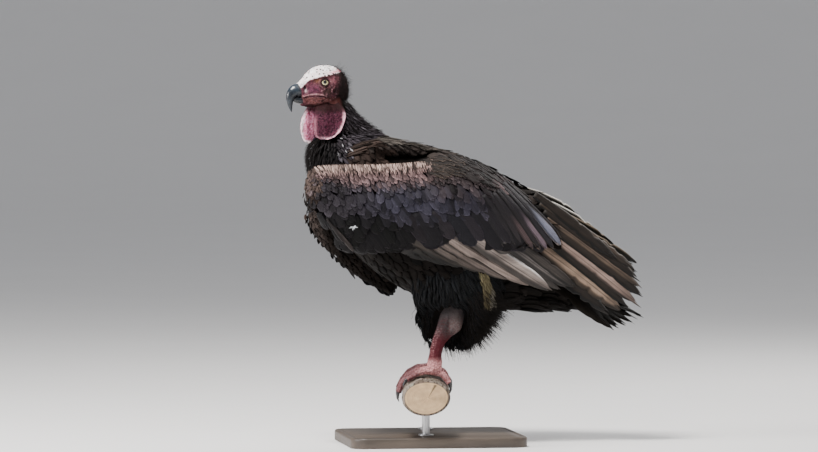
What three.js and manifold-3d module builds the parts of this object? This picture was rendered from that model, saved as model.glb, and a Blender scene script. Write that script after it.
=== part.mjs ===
// Red-headed vulture (adult male), life size, standing on a short cut branch that a plain stand holds.
// Millimetres, +Z up. The bird faces -X; its left side is -Y. The origin is the middle of the stand's underside.
import * as THREE from "three";
import { mergeVertices } from "three/addons/utils/BufferGeometryUtils.js";
import Module from "manifold-3d";

const wasm = await Module();
wasm.setup();

// ---------------------------------------------------------------- driving dimensions (mm, degrees)
const GAP = 0.3; // between two pieces that meet
const PERCH_TOP = 116; // height of the soles
const PERCH = { across: 40, high: 29 }; // half width and half height of the branch under the feet
const PERCH_LENGTH = 300;
const PERCH_TURN = 8; // yaw of the branch from the Y axis
const BASE = { x: 300, y: 260, z: 18, corner: 26 };
const ROD_R = 6.5;
const ROD_AT = 78; // distance of each rod from the middle of the branch

// Side elevation drawn on squares of GRID mm: column 430 is over the feet, row 375 is the sole line.
// The drawing is turned by SHEET_TURN and tipped by SHEET_TIP, so a point off the middle plane is set back for it.
const GRID = 1.7;
const SHEET_TURN = 8;
const SHEET_TIP = 2;

const HEAD = { col: 318, row: 82.3, y: -4, yaw: 20, pitch: 0 }; // middle plane point level with the eyes
const EYE = { f: -4.5, z: -3, y: 18.4, r: 10.8 };
const LEG_Y = 47; // legs off the middle plane
const TOE = { inner: 56, middle: 78, outer: 58, hind: 28 }; // lengths along the sole
const CLAW = { front: 22, hind: 25, r: 5.2 };

// ---------------------------------------------------------------- small tools
const V = (x, y, z) => new THREE.Vector3(x, y, z);
const rad = THREE.MathUtils.degToRad;
const turn = rad(SHEET_TURN),
  tip = rad(SHEET_TIP);

// A point of the side elevation, at the distance y from the middle plane.
function at(col, row, y = 0) {
  const x = ((col - 430) * GRID + y * Math.sin(turn)) / Math.cos(turn);
  const back = x * Math.sin(turn) + y * Math.cos(turn);
  const z = (PERCH_TOP + (375 - row) * GRID - back * Math.sin(tip)) / Math.cos(tip);
  return V(x, y, z);
}

// Smooth value of a table whose first column is the station.
function look(table, s) {
  const n = table.length;
  let i = 0;
  while (i < n - 2 && s > table[i + 1][0]) i++;
  const a = table[Math.max(i - 1, 0)],
    b = table[i],
    c = table[i + 1],
    d = table[Math.min(i + 2, n - 1)];
  const h = c[0] - b[0];
  const t = THREE.MathUtils.clamp((s - b[0]) / h, 0, 1);
  return b.map((_, k) => {
    if (k === 0) return s;
    const m = (c[k] - b[k]) / h;
    let m0 = a === b ? m : (c[k] - a[k]) / (c[0] - a[0]);
    let m1 = d === c ? m : (d[k] - b[k]) / (d[0] - b[0]);
    const cap = 3 * Math.abs(m);
    m0 = m0 * m <= 0 ? 0 : Math.sign(m0) * Math.min(Math.abs(m0), cap);
    m1 = m1 * m <= 0 ? 0 : Math.sign(m1) * Math.min(Math.abs(m1), cap);
    const t2 = t * t,
      t3 = t2 * t;
    return (
      (2 * t3 - 3 * t2 + 1) * b[k] + (t3 - 2 * t2 + t) * h * m0 + (-2 * t3 + 3 * t2) * c[k] + (t3 - t2) * h * m1
    );
  });
}

// Stations spread evenly between the rows of a table, "fill" of them in each gap.
function stations(table, fill = 1) {
  const out = [];
  for (let i = 0; i < table.length - 1; i++)
    for (let j = 0; j < fill; j++) out.push(table[i][0] + ((table[i + 1][0] - table[i][0]) * j) / fill);
  out.push(table[table.length - 1][0]);
  return out;
}

// Closed surface through rings of equally many points, with a fan over each end.
// In a thin folded section the two faces are split along matching diagonals, so that they can't cross.
function skin(rings, folded = false) {
  const n = rings[0].length;
  const pos = [],
    idx = [];
  const put = (p) => (pos.push(p.x, p.y, p.z), pos.length / 3 - 1);
  const first = rings.map((ring) => ring.map(put)[0]);
  for (let r = 0; r < rings.length - 1; r++)
    for (let k = 0; k < n; k++) {
      const a = first[r] + k,
        b = first[r] + ((k + 1) % n),
        c = first[r + 1] + k,
        d = first[r + 1] + ((k + 1) % n);
      if (folded && Math.cos((2 * Math.PI * (k + 0.5)) / n) < 0) idx.push(a, b, c, b, d, c);
      else idx.push(a, b, d, a, d, c);
    }
  for (const [r, flip] of [
    [0, true],
    [rings.length - 1, false],
  ]) {
    const mid = rings[r].reduce((s, p) => s.add(p), V(0, 0, 0)).multiplyScalar(1 / n);
    const m = put(mid);
    for (let k = 0; k < n; k++) {
      const a = first[r] + k,
        b = first[r] + ((k + 1) % n);
      if (flip) idx.push(m, b, a);
      else idx.push(m, a, b);
    }
  }
  const g = new THREE.BufferGeometry();
  g.setAttribute("position", new THREE.Float32BufferAttribute(pos, 3));
  g.setIndex(idx);
  return g;
}

// A geometry as a solid that can be joined and cut.
function solid(geometry) {
  const g = geometry.index ? geometry.clone() : geometry;
  for (const name of Object.keys(g.attributes)) if (name !== "position") g.deleteAttribute(name);
  const m = mergeVertices(g, 1e-3);
  let tri = new Uint32Array(m.index.array);
  const make = () =>
    new wasm.Manifold(new wasm.Mesh({ numProp: 3, vertProperties: m.attributes.position.array, triVerts: tri }));
  let s = make();
  if (s.volume() < 0) {
    for (let i = 0; i < tri.length; i += 3) [tri[i + 1], tri[i + 2]] = [tri[i + 2], tri[i + 1]];
    s = make();
  }
  return s;
}
const join = (list) => list.reduce((a, b) => a.add(b));
const cut = (a, ...list) => list.reduce((s, b) => s.subtract(b), a);
const biggest = (s) => s.decompose().sort((a, b) => b.volume() - a.volume())[0];

// Half space as a large box: its face passes through p, and it lies on the side that n points to.
function halfSpace(p, n, size = 1600) {
  const g = new THREE.BoxGeometry(size, size, size);
  g.translate(0, 0, size / 2);
  g.applyQuaternion(new THREE.Quaternion().setFromUnitVectors(V(0, 0, 1), n.clone().normalize()));
  g.translate(p.x, p.y, p.z);
  return solid(g);
}
const power = (v, e) => Math.sign(v) * Math.pow(Math.abs(v), e);

// Tube of oval sections along a list of stations [point, half height, half width]; "side" is the width's direction.
function limb(list, side, sides = 12, grow = 0, e = 1) {
  const rings = list.map(([p, hn, hw], i) => {
    const a = list[Math.max(i - 1, 0)][0],
      b = list[Math.min(i + 1, list.length - 1)][0];
    const dir = b.clone().sub(a).normalize();
    const s = side.clone().addScaledVector(dir, -side.dot(dir)).normalize();
    const up = dir.clone().cross(s);
    const c = p.clone();
    if (i === 0) c.addScaledVector(dir, -grow);
    if (i === list.length - 1) c.addScaledVector(dir, grow);
    return Array.from({ length: sides }, (_, k) => {
      const f = (2 * Math.PI * k) / sides;
      return c
        .clone()
        .addScaledVector(s, (hw + grow) * power(Math.cos(f), e))
        .addScaledVector(up, (hn + grow) * power(Math.sin(f), e));
    });
  });
  return solid(skin(rings));
}

const root = new THREE.Group();
let triangles = 0;
function piece(name, s, colour, roughness, metalness = 0) {
  const m = s.getMesh();
  const p = [];
  for (let i = 0; i < m.numVert; i++) for (let k = 0; k < 3; k++) p.push(m.vertProperties[i * m.numProp + k]);
  const g = new THREE.BufferGeometry();
  g.setAttribute("position", new THREE.Float32BufferAttribute(p, 3));
  g.setIndex(Array.from(m.triVerts));
  const mesh = new THREE.Mesh(g, new THREE.MeshStandardMaterial({ color: colour, roughness, metalness }));
  mesh.name = name;
  root.add(mesh);
  triangles += m.numTri;
  return mesh;
}

const SLATE = 0x2a262b,
  BROWN = 0x54483f,
  BLACK = 0x17161a,
  ROSE = 0x9c5a5a,
  PINK = 0xc0727a,
  HORN = 0x20242b;

// ---------------------------------------------------------------- trunk: upright sections from breast to tail root
// column, top row, bottom row, half width (mm)
const TRUNK = [
  [307, 152, 163, 12],
  [310, 144, 176, 30],
  [317.5, 138, 198, 50],
  [330, 131, 224, 67],
  [350, 127, 250, 79],
  [375, 130, 273, 87],
  [400, 139, 289, 91],
  [430, 145, 305, 91],
  [460, 152.5, 313.5, 85],
  [490, 170, 313, 71],
  [515, 187, 312, 55],
  [540, 206, 311, 41],
  [564, 232, 308, 28],
  [580, 254, 300, 14],
  [586, 268, 292, 6],
];
function oval(col, top, bottom, half, sides, grow, e = 0.88) {
  const a = at(col, top),
    b = at(col, bottom);
  const zm = (a.z + b.z) / 2,
    hz = (a.z - b.z) / 2 + grow,
    x = (a.x + b.x) / 2;
  return Array.from({ length: sides }, (_, k) => {
    const f = (2 * Math.PI * k) / sides;
    return V(x, (half + grow) * power(Math.cos(f), e), zm + hz * power(Math.sin(f), e));
  });
}
function trunkLoft(grow = 0) {
  const rings = TRUNK.map(([c, t, b, h]) => oval(c, t, b, h, 14, grow));
  if (grow)
    for (const [ring, d] of [
      [rings[0], -grow],
      [rings[rings.length - 1], grow],
    ])
      for (const p of ring) p.x += d;
  return solid(skin(rings));
}

// Neck: level sections from under the skull down into the breast. row, front column, back column, half width
const NECK = [
  [88, 321, 344, 20],
  [98, 319, 348, 23],
  [107, 318, 352, 23.5],
  [116, 317.5, 360, 24],
  [125, 316, 371, 26],
  [134, 313.5, 386, 29],
  [142, 311, 400, 38],
  [151, 309.5, 412, 54],
  [164, 311.5, 420, 65],
];
function neckLoft(grow = 0) {
  return solid(
    skin(
      NECK.map(([row, f, b, half], i) => {
        const p = at(f, row, HEAD.y),
          q = at(b, row, HEAD.y);
        const xm = (p.x + q.x) / 2,
          hx = (q.x - p.x) / 2 + grow;
        const ym = i < 4 ? HEAD.y : i < 6 ? HEAD.y / 2 : 0;
        const z = (p.z + q.z) / 2 + (i === 0 ? grow : 0);
        return Array.from({ length: 12 }, (_, k) => {
          const a = (2 * Math.PI * k) / 12;
          return V(xm + hx * Math.cos(a), ym + (half + grow) * Math.sin(a), z);
        });
      }),
    ),
  );
}

// ---------------------------------------------------------------- head: its own axes, f forward, l to its left, z up
const headAt = at(HEAD.col, HEAD.row, HEAD.y);
const yaw = rad(HEAD.yaw);
const F = V(-Math.cos(yaw), -Math.sin(yaw), 0),
  L = V(Math.sin(yaw), -Math.cos(yaw), 0),
  UP = V(0, 0, 1);
const head = (f, l, z) => headAt.clone().addScaledVector(F, f).addScaledVector(L, l).addScaledVector(UP, z);

// forward, top, bottom, half width, height of the widest point as a share from the bottom
const SKULL = [
  [40, -4, -36, 9.5],
  [35, -1.5, -38, 10.8],
  [28, 5.5, -41, 12.8],
  [20, 15.5, -43, 16.5],
  [11, 21.5, -44, 21.5],
  [1, 25.5, -44, 26],
  [-11, 27.6, -43, 29.5],
  [-23, 26.6, -41.5, 30.3],
  [-34, 22.5, -40, 28],
  [-43, 15, -38, 23],
  [-49.5, 5, -34, 16],
  [-53, -6, -26, 8],
];
function skullLoft(grow = 0) {
  return solid(
    skin(
      SKULL.map(([f, top, bottom, half], i) => {
        const zm = (top + bottom) / 2,
          hz = (top - bottom) / 2 + grow;
        const ff = f + (i === 0 ? grow : i === SKULL.length - 1 ? -grow : 0);
        return Array.from({ length: 16 }, (_, k) => {
          const a = (2 * Math.PI * k) / 16;
          const s = Math.sin(a);
          // the jaws are narrower than the brow
          const w = (half + grow) * (s < 0 ? 1 - 0.16 * s * s : 1 - 0.05 * s * s);
          return head(ff, w * power(Math.cos(a), 0.92), zm + hz * power(s, 0.92));
        });
      }),
    ),
  );
}
// Where the horn of the bill begins: a leaning plane across the front of the face.
const cereLow = head(32.5, 0, -30),
  cereHigh = head(39, 0, -3);
const cereNormal = cereHigh.clone().sub(cereLow).cross(L).normalize();
if (cereNormal.dot(F) < 0) cereNormal.negate();
const hornSide = halfSpace(cereLow.clone().addScaledVector(cereNormal, GAP), cereNormal);
const faceFront = halfSpace(cereLow, cereNormal);

// Upper bill: f, z, half height across the curve, half width
const UPPER_BILL = [
  [29, -14.5, 12.2, 11],
  [36, -15, 12.1, 10.6],
  [42.5, -16.3, 11.6, 9.4],
  [47.5, -19.8, 10.3, 8.2],
  [51, -25, 8.3, 6.9],
  [52.4, -31.5, 6.1, 5.6],
  [52.2, -38.5, 4.5, 4.2],
  [51, -45, 2.8, 2.7],
  [49.4, -51, 0.6, 0.6],
];
const LOWER_BILL = [
  [25, -34.2, 5.6, 9],
  [32, -34.2, 5.2, 8.2],
  [38, -33.4, 4.2, 6.6],
  [43, -32, 2.6, 4.6],
  [45.6, -31, 1, 2.2],
];
const bill = (t, sides, grow = 0) =>
  limb(
    t.map(([f, z, hn, hw]) => [head(f, 0, z), hn, hw]),
    L,
    sides,
    grow,
  );

const eyeBall = (side, grow = 0) => {
  const g = new THREE.IcosahedronGeometry(EYE.r + grow, 2);
  g.applyQuaternion(new THREE.Quaternion().setFromUnitVectors(V(0, 0, 1), L));
  const c = head(EYE.f, side * EYE.y, EYE.z);
  g.translate(c.x, c.y, c.z);
  return solid(g);
};

// Lappet: a flap of skin, round below, hung along the side of the throat. height share, front f, back f, z, off the middle
const LAPPET = [
  [0, 1, -31, -39, 23.5],
  [0.15, 11, -36, -47, 28],
  [0.35, 15.5, -38.5, -58, 31],
  [0.55, 16, -37.5, -72, 33],
  [0.75, 13, -32.5, -86, 35],
  [0.9, 7, -23, -96.5, 36.5],
  [1, -2, -12, -102, 37],
];
function lappet(side, grow = 0) {
  return solid(
    skin(
      LAPPET.map(([t, f, b, z, off], i) => {
        const fm = (f + b) / 2,
          hf = (f - b) / 2 + grow;
        const th = (i === 0 ? 3 : i === LAPPET.length - 1 ? 1.6 : 3.6) + grow;
        const zz = z + (i === 0 ? grow : i === LAPPET.length - 1 ? -grow : 0);
        return Array.from({ length: 10 }, (_, k) => {
          const a = (2 * Math.PI * k) / 10;
          const c = Math.cos(a),
            reach = (c * hf) / (hf - grow);
          // bends round the throat in front; behind, the left one stands off the turned neck
          const inward = (c > 0 ? 11 : side > 0 ? -15 : 8) * reach * reach;
          return head(fm + hf * c, side * (off - inward + th * Math.sin(a)), zz * (side > 0 ? 1 : 1.04));
        });
      }),
    ),
  );
}

// ---------------------------------------------------------------- wings
// Folded arm with its coverts, upright crescent sections.
// column, top row, bottom row, middle off the body's plane, half thickness, inward bend of the top, of the bottom
const ARM_LEFT = [
  [304.8, 183, 190, 94, 5, 0, 0],
  [306.5, 177, 201, 95, 12, 1, 1],
  [312, 169.5, 211, 97, 20, 5, 3],
  [322, 166, 222, 99, 25, 10, 6],
  [348, 165, 249.5, 102, 27, 18, 10],
  [375, 165, 252, 105, 24, 25, 10],
  [400, 164, 248, 107, 22, 32, 9],
  [425, 162, 246, 107, 20, 42, 8],
  [450, 156, 246, 103, 18, 54, 7],
  [478, 161, 247, 95, 15, 56, 6],
  [500, 174, 248, 86, 12, 50, 5],
  [520, 189, 249, 77, 9, 42, 4],
  [544, 214.5, 249, 66, 5.5, 24, 3],
  [558, 240, 248, 59, 2.5, 4, 1],
];
const ARM_RIGHT = [
  [306.5, 211, 220, 92, 5, 0, 0],
  [309, 203, 229, 93, 12, 1, 1],
  [315, 194, 239, 95, 19, 4, 3],
  [325, 186, 252, 97, 24, 8, 6],
  [340, 178, 267, 99, 26, 12, 9],
  [357, 170, 280, 102, 25, 17, 13],
  [374, 163, 290, 104, 23, 23, 17],
  [389, 158, 296.5, 105, 20, 30, 22],
  [398, 156, 287, 106, 19, 34, 16],
  [425, 153, 262, 106, 18, 44, 8],
  [450, 153, 252, 102, 17, 54, 7],
  [478, 162, 250, 94, 15, 56, 6],
  [500, 174, 250, 85, 12, 50, 5],
  [520, 185, 250, 76, 9, 42, 4],
  [546, 204.5, 249, 65, 5.5, 25, 3],
  [562, 222, 244, 57, 2.5, 6, 1],
];
function arm(table, side, grow = 0) {
  const rings = table.map(([c, t, b, off, th, bt, bb]) => {
    const p = at(c, t, side * off),
      q = at(c, b, side * off);
    const zm = (p.z + q.z) / 2,
      hz = (p.z - q.z) / 2 + grow,
      x = (p.x + q.x) / 2;
    return Array.from({ length: 14 }, (_, k) => {
      const a = (2 * Math.PI * k) / 14;
      const s = power(Math.sin(a), 0.9);
      const reach = (s * hz) / (hz - grow);
      const bend = (s > 0 ? bt : bb) * reach * reach;
      return V(x, side * (off - bend + (th + grow) * power(Math.cos(a), 0.9)), zm + hz * s);
    });
  });
  if (grow) {
    const push = (ring, d) => ring.map((p) => p.clone().setX(p.x + d));
    rings.unshift(push(rings[0], -grow));
    rings.push(push(rings[rings.length - 1], grow));
  }
  return solid(skin(rings, true));
}

// One vane: a long plate with a rounded end. "face" is the side that it shows; "sag" bows it, "flat" is its thickness.
const VANE = [
  [0, 0.62],
  [0.2, 0.86],
  [0.5, 1],
  [0.78, 0.95],
  [0.92, 0.7],
  [1, 0.2],
];
function vane(from, to, width, face, { thick = 2, sag = 0, grow = 0, rows = [0, 0.25, 0.5, 0.75, 0.9, 0.97, 1] } = {}) {
  const dir = to.clone().sub(from);
  const len = dir.length();
  dir.normalize();
  const n = face.clone().addScaledVector(dir, -face.dot(dir)).normalize();
  const s = dir.clone().cross(n);
  return solid(
    skin(
      rows.map((t, i) => {
        const end = i === rows.length - 1 ? grow : i === 0 ? -grow : 0;
        const w = (width / 2) * look(VANE, t)[1] + grow;
        const c = from
          .clone()
          .addScaledVector(dir, len * t + end)
          .addScaledVector(n, sag * (4 * t * (1 - t)));
        const h = thick / 2 + grow;
        return [
          [w, h],
          [-w, h],
          [-w, -h],
          [w, -h],
        ].map(([a, b]) => c.clone().addScaledVector(s, a).addScaledVector(n, b));
      }),
    ),
  );
}
// A fan of vanes between the first and last root and tip; the tips may follow a list. Each lies a step under the last.
function fan(list, face, opt) {
  return join(list.map(([a, b, w, extra]) => vane(a, b, w, face, { ...opt, ...(extra || {}) })));
}

// Secondaries: their tips step down and back below the coverts. root column, row -> tip column, row, width
const SECONDARIES = {
  count: 8,
  root: [
    [345, 228],
    [522, 222],
  ],
  tip: [
    [410, 256],
    [574, 290],
  ],
  width: 56,
};
function secondaries(side, drop = 0, grow = 0) {
  const { count, root: r, tip: t, width } = SECONDARIES;
  const face = V(0.05, side, 0.16).normalize();
  const list = [];
  for (let i = 0; i < count; i++) {
    const k = i / (count - 1);
    const y0 = 100 - 34 * k,
      y1 = 105 - 43 * k;
    const mix = (a, b) => a + (b - a) * k;
    list.push([
      at(mix(r[0][0], r[1][0]), mix(r[0][1], r[1][1]) + drop, side * y0),
      at(mix(t[0][0], t[1][0]), mix(t[0][1], t[1][1]) + drop + 0.5 * Math.sin(Math.PI * k), side * y1),
      width - 8 * k,
    ]);
  }
  return fan(list, face, { thick: 3.4, grow, rows: [0, 0.92, 1] });
}
// Primaries: long vanes under the secondaries, the wing's point. tip column, row, off the middle; root likewise
const PRIMARIES_LEFT = [
  [624, 311, 56, 552, 264, 61, 32],
  [638, 307, 53.5, 556, 253, 58.5, 30],
  [634.5, 300, 49.5, 552, 245, 56, 28],
  [641, 294.5, 45.5, 550, 237, 53, 27],
  [636, 285, 39.5, 548, 228, 50, 27],
  [633, 277, 34, 545, 219, 47, 27],
  [627, 267, 28, 541, 210, 44, 27],
  [612, 256, 22, 534, 203, 41, 27],
];
const PRIMARIES_RIGHT = [
  [624, 302, 55, 556, 258, 60, 30],
  [632, 290, 51, 560, 247, 57, 29],
  [634, 281, 46.5, 556, 238, 54, 28],
  [636, 271, 41.5, 553, 229, 51, 28],
  [633, 262, 36.5, 550, 220, 48, 28],
  [613, 246, 31, 545, 210, 45, 27],
  [596, 233, 26.5, 536, 201, 42, 27],
  [578, 217, 22, 524, 192, 39, 27],
];
function primaries(table, side, grow = 0) {
  return fan(
    table.map(([tc, tr, ty, rc, rr, ry, w]) => [at(rc, rr, side * ry), at(tc, tr, side * ty), w]),
    V(0, side, 0.32).normalize(),
    { thick: 3.2, grow, rows: [0, 0.92, 1] },
  );
}

// ---------------------------------------------------------------- tail: twelve feathers, the middle pair highest and longest
const TAIL = { count: 12, rootCol: 528, rootRow: 265, tipCol: 638, tipRow: 311, width: 36 };
function tail(grow = 0) {
  const list = [];
  for (let i = 0; i < TAIL.count; i++) {
    const k = i - (TAIL.count - 1) / 2,
      a = Math.abs(k);
    list.push(
      vane(
        at(TAIL.rootCol, TAIL.rootRow - 0.55 * a, 4.5 * k),
        at(TAIL.tipCol - 5.2 * a, TAIL.tipRow + 2.8 * a, 9.6 * k),
        TAIL.width - 1.8 * a,
        V(-0.35, Math.sign(k) * Math.min(0.25 + 0.09 * a, 0.75), 1).normalize(),
        { thick: 3, grow, rows: [0, 0.93, 1] },
      ),
    );
  }
  return join(list);
}

// ---------------------------------------------------------------- legs
// Feathered thigh, level sections. row, front column, back column, middle off the body's plane, half width
const THIGH = [
  [262, 408, 500, 54, 30],
  [285, 409, 503, 56, 36],
  [303, 413, 502, 56, 36],
  [318, 417, 494, 54, 31],
  [330, 421, 486, 51, 26],
  [339, 426, 479, 49, 20],
  [346, 438, 470, 48, 10],
];
const RIGHT_LEG_BACK = 14; // the right leg stands this far further back
function thigh(side) {
  return solid(
    skin(
      THIGH.map(([row, f, b, off, half]) => {
        const shift = side > 0 ? RIGHT_LEG_BACK : 0;
        const p = at(f, row, -off),
          q = at(b, row, -off);
        const xm = (p.x + q.x) / 2 + shift,
          hx = (q.x - p.x) / 2;
        return Array.from({ length: 11 }, (_, k) => {
          const a = (2 * Math.PI * (k + 0.5)) / 11;
          return V(xm + hx * Math.cos(a), side * (off + half * Math.sin(a)), p.z);
        });
      }),
    ),
  );
}
// Heel, shank and instep. column, row, half depth, half width
const SHANK = [
  [455, 305, 17, 13],
  [452, 314, 20, 14.5],
  [449, 323, 19.5, 14],
  [443.5, 332, 14.5, 11.5],
  [438.5, 341, 11.3, 9.6],
  [436, 350, 10.8, 9.2],
  [435, 358, 11.3, 10],
  [434.5, 364, 13, 12.5],
  [434.5, 369, 12, 12],
];
function shank(side, grow = 0) {
  const shift = side > 0 ? RIGHT_LEG_BACK : 0;
  return limb(
    SHANK.map(([c, r, hd, hw]) => {
      const p = at(c, r, -LEG_Y);
      return [V(p.x + shift, side * LEG_Y, p.z), hd, hw];
    }),
    V(0, 1, 0),
    9,
    grow,
  );
}

// ---------------------------------------------------------------- perch
const perchYaw = rad(PERCH_TURN);
const ALONG = V(Math.sin(perchYaw), Math.cos(perchYaw), 0); // the branch's own direction
const ACROSS = V(Math.cos(perchYaw), -Math.sin(perchYaw), 0); // backwards over it
const footAt = (side) => V(at(434.5, 369, -LEG_Y).x + (side > 0 ? RIGHT_LEG_BACK : 0), side * LEG_Y, PERCH_TOP);
const perchMid = footAt(-1)
  .add(footAt(1))
  .multiplyScalar(0.5)
  .addScaledVector(ACROSS, -15)
  .setZ(PERCH_TOP - PERCH.high);
function branch(grow = 0) {
  const count = 5,
    sides = 18;
  const rings = [];
  for (let i = 0; i < count; i++) {
    const t = i / (count - 1);
    const q = (t - 0.5) * (PERCH_LENGTH + 2 * grow);
    rings.push(
      Array.from({ length: sides }, (_, k) => {
        const a = (2 * Math.PI * k) / sides;
        const lump = 0.5 * Math.sin(2 * a + 4 * t) + 0.3 * Math.sin(3 * a - 9 * t) + 1.2 * Math.pow(2 * t - 1, 2) - 0.5;
        const r = lump + grow;
        return perchMid
          .clone()
          .addScaledVector(ALONG, q)
          .addScaledVector(ACROSS, (PERCH.across + r) * Math.cos(a))
          .addScaledVector(UP, (PERCH.high + r) * Math.sin(a) + 2 * Math.sin(2.2 * t + 0.4) - 1.9);
      }),
    );
  }
  return solid(skin(rings));
}
// A point over the branch: "over" mm round it from the crown, forwards positive, "along" mm down its length, "lift" off the bark.
function onPerch(over, along, lift) {
  let a = 0;
  for (let walked = 0; walked < Math.abs(over); a += 0.01)
    walked += 0.01 * Math.hypot(PERCH.across * Math.cos(a), PERCH.high * Math.sin(a));
  a *= Math.sign(over);
  const out = new THREE.Vector2(Math.sin(a) / PERCH.across, Math.cos(a) / PERCH.high).normalize();
  return perchMid
    .clone()
    .addScaledVector(ALONG, along)
    .addScaledVector(ACROSS, -PERCH.across * Math.sin(a) - lift * out.x)
    .addScaledVector(UP, PERCH.high * Math.cos(a) + lift * out.y);
}
// Toes: lengths over the bark, heading (degrees from straight ahead, outwards positive), thickness at the root
const TOES = [
  ["inner", TOE.inner, -24, 8.4, 1],
  ["middle", TOE.middle, 0, 9, 1],
  ["outer", TOE.outer, 26, 7.6, 1],
  ["hind", TOE.hind, 6, 8, -1],
];
function toePath(side, [name, length, heading, r, ahead]) {
  const foot = footAt(side).sub(perchMid);
  const over0 = -foot.dot(ACROSS),
    along0 = foot.dot(ALONG);
  const h = rad(heading);
  const out = [];
  const n = 5;
  for (let i = 0; i <= n; i++) {
    const s = length * (i / n);
    // the joints swell and the toe thins to its claw
    const knuckle = 1 + 0.09 * Math.cos((2 * Math.PI * s) / (length / (name === "hind" ? 2 : 3)));
    const rr = r * (1 - 0.34 * (i / n)) * knuckle;
    const over = over0 * (ahead > 0 ? 1 : 1) + ahead * s * Math.cos(h) * 0.86;
    const along = along0 + side * ahead * s * Math.sin(h);
    const arch = 4.5 * Math.sin(Math.PI * Math.min(1, i / n + 0.12)) * (1 - i / n);
    out.push([onPerch(over, along, rr * 0.92 + 0.9 + arch), rr * 0.92, rr]);
  }
  return out;
}
const toe = (side, t, grow = 0) => limb(toePath(side, t), ALONG, 6, grow);
function claw(side, t, grow = 0) {
  const path = toePath(side, t);
  const [end, , r] = path[path.length - 1];
  const dir = end.clone().sub(path[path.length - 3][0]).normalize();
  const length = t[0] === "hind" ? CLAW.hind : CLAW.front;
  const bend = dir.clone().cross(ALONG);
  if (bend.dot(end.clone().sub(perchMid)) > 0) bend.negate();
  const list = [];
  for (let i = 0; i <= 3; i++) {
    const u = i / 3;
    const turnBy = 1.15 * u;
    const p = end
      .clone()
      .addScaledVector(dir, -5 + length * Math.sin(turnBy) * 0.95)
      .addScaledVector(bend, length * (1 - Math.cos(turnBy)) * 0.9 - 1.2);
    const rr = CLAW.r * (t[0] === "outer" ? 0.86 : 1) * (1 - 0.93 * Math.pow(u, 1.2));
    list.push([p, rr, rr * 0.8]);
  }
  return limb(list, ALONG, 5, grow);
}

// ================================================================= assembly
// Neck, head and trunk are modelled whole and parted with thin plane cuts.
const trunkWhole = join([trunkLoft(), neckLoft()]);
const skullWhole = skullLoft();

// head from neck: a plane under the jaw that rises towards the nape
const jaw = head(-4, 0, -40),
  nape = head(-46, 0, -33);
const headPlane = nape.clone().sub(jaw).cross(L).normalize();
if (headPlane.z > 0) headPlane.negate();
const belowHead = halfSpace(jaw, headPlane);
const aboveNeck = halfSpace(jaw.clone().addScaledVector(headPlane, GAP), headPlane.clone().negate());
// neck from trunk: a plane across the shoulders, breast lower than back
const collar = at(345, 152),
  collarNormal = V(0.62, 0, -1).normalize();
const belowCollar = halfSpace(collar, collarNormal);
const aboveCollar = halfSpace(collar.clone().addScaledVector(collarNormal, GAP), collarNormal.clone().negate());
// trunk from tail: an upright leaning plane through the tail root
const rump = at(540, 262),
  rumpNormal = V(1, 0, -0.42).normalize();
const behindRump = halfSpace(rump, rumpNormal);
const beforeRump = halfSpace(rump.clone().addScaledVector(rumpNormal, GAP), rumpNormal.clone().negate());

const trunkGrown = join([trunkLoft(GAP), neckLoft(GAP)]);
const eyes = { left: eyeBall(1), right: eyeBall(-1) };

const billUpper = biggest(bill(UPPER_BILL, 10).intersect(hornSide));
const billLower = biggest(bill(LOWER_BILL, 8).intersect(hornSide).subtract(bill(UPPER_BILL, 10, GAP)));
const headSolid = biggest(
  cut(skullWhole.add(neckLoft().subtract(belowHead)), faceFront, belowHead, eyeBall(1, GAP), eyeBall(-1, GAP)),
);
const lappets = { left: lappet(1), right: lappet(-1) };
const skullGrown = skullLoft(GAP);

piece("head", headSolid, 0xb56a68, 0.6);
piece("bill_upper", billUpper, HORN, 0.3);
piece("bill_lower", billLower, HORN, 0.35);
piece("eye_left", eyes.left, 0xd8cf9a, 0.08);
piece("eye_right", eyes.right, 0xd8cf9a, 0.08);
piece("lappet_left", biggest(cut(lappets.left, trunkGrown, skullGrown)), PINK, 0.6);
piece("lappet_right", biggest(cut(lappets.right, trunkGrown, skullGrown)), 0xc85a6a, 0.6);
piece("neck", biggest(cut(trunkWhole, aboveNeck, belowCollar, skullGrown)), BLACK, 0.9);
piece("trunk", biggest(cut(trunkWhole, aboveCollar, behindRump)), SLATE, 0.85);

const tailWhole = trunkWhole.subtract(beforeRump).add(tail().subtract(beforeRump));
const tailSolid = biggest(tailWhole);
piece("tail", tailSolid, BLACK, 0.85);
const tailGrown = tail(GAP);

const arms = { left: arm(ARM_LEFT, -1), right: arm(ARM_RIGHT, 1) };
const armsGrown = { left: arm(ARM_LEFT, -1, 2 * GAP), right: arm(ARM_RIGHT, 1, 2 * GAP) };
const secs = { left: secondaries(-1), right: secondaries(1, -4) };
const secsGrown = { left: secondaries(-1, 0, GAP), right: secondaries(1, -4, GAP) };
for (const [name, side, table] of [
  ["left", -1, PRIMARIES_LEFT],
  ["right", 1, PRIMARIES_RIGHT],
]) {
  piece("wing_" + name + "_arm", biggest(cut(arms[name], trunkGrown)), SLATE, 0.7);
  piece("wing_" + name + "_secondaries", biggest(cut(secs[name], trunkGrown, armsGrown[name])), BROWN, 0.7);
  piece(
    "wing_" + name + "_primaries",
    biggest(cut(primaries(table, side), trunkGrown, armsGrown[name], secsGrown[name], tailGrown)),
    BROWN,
    0.75,
  );
}

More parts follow.
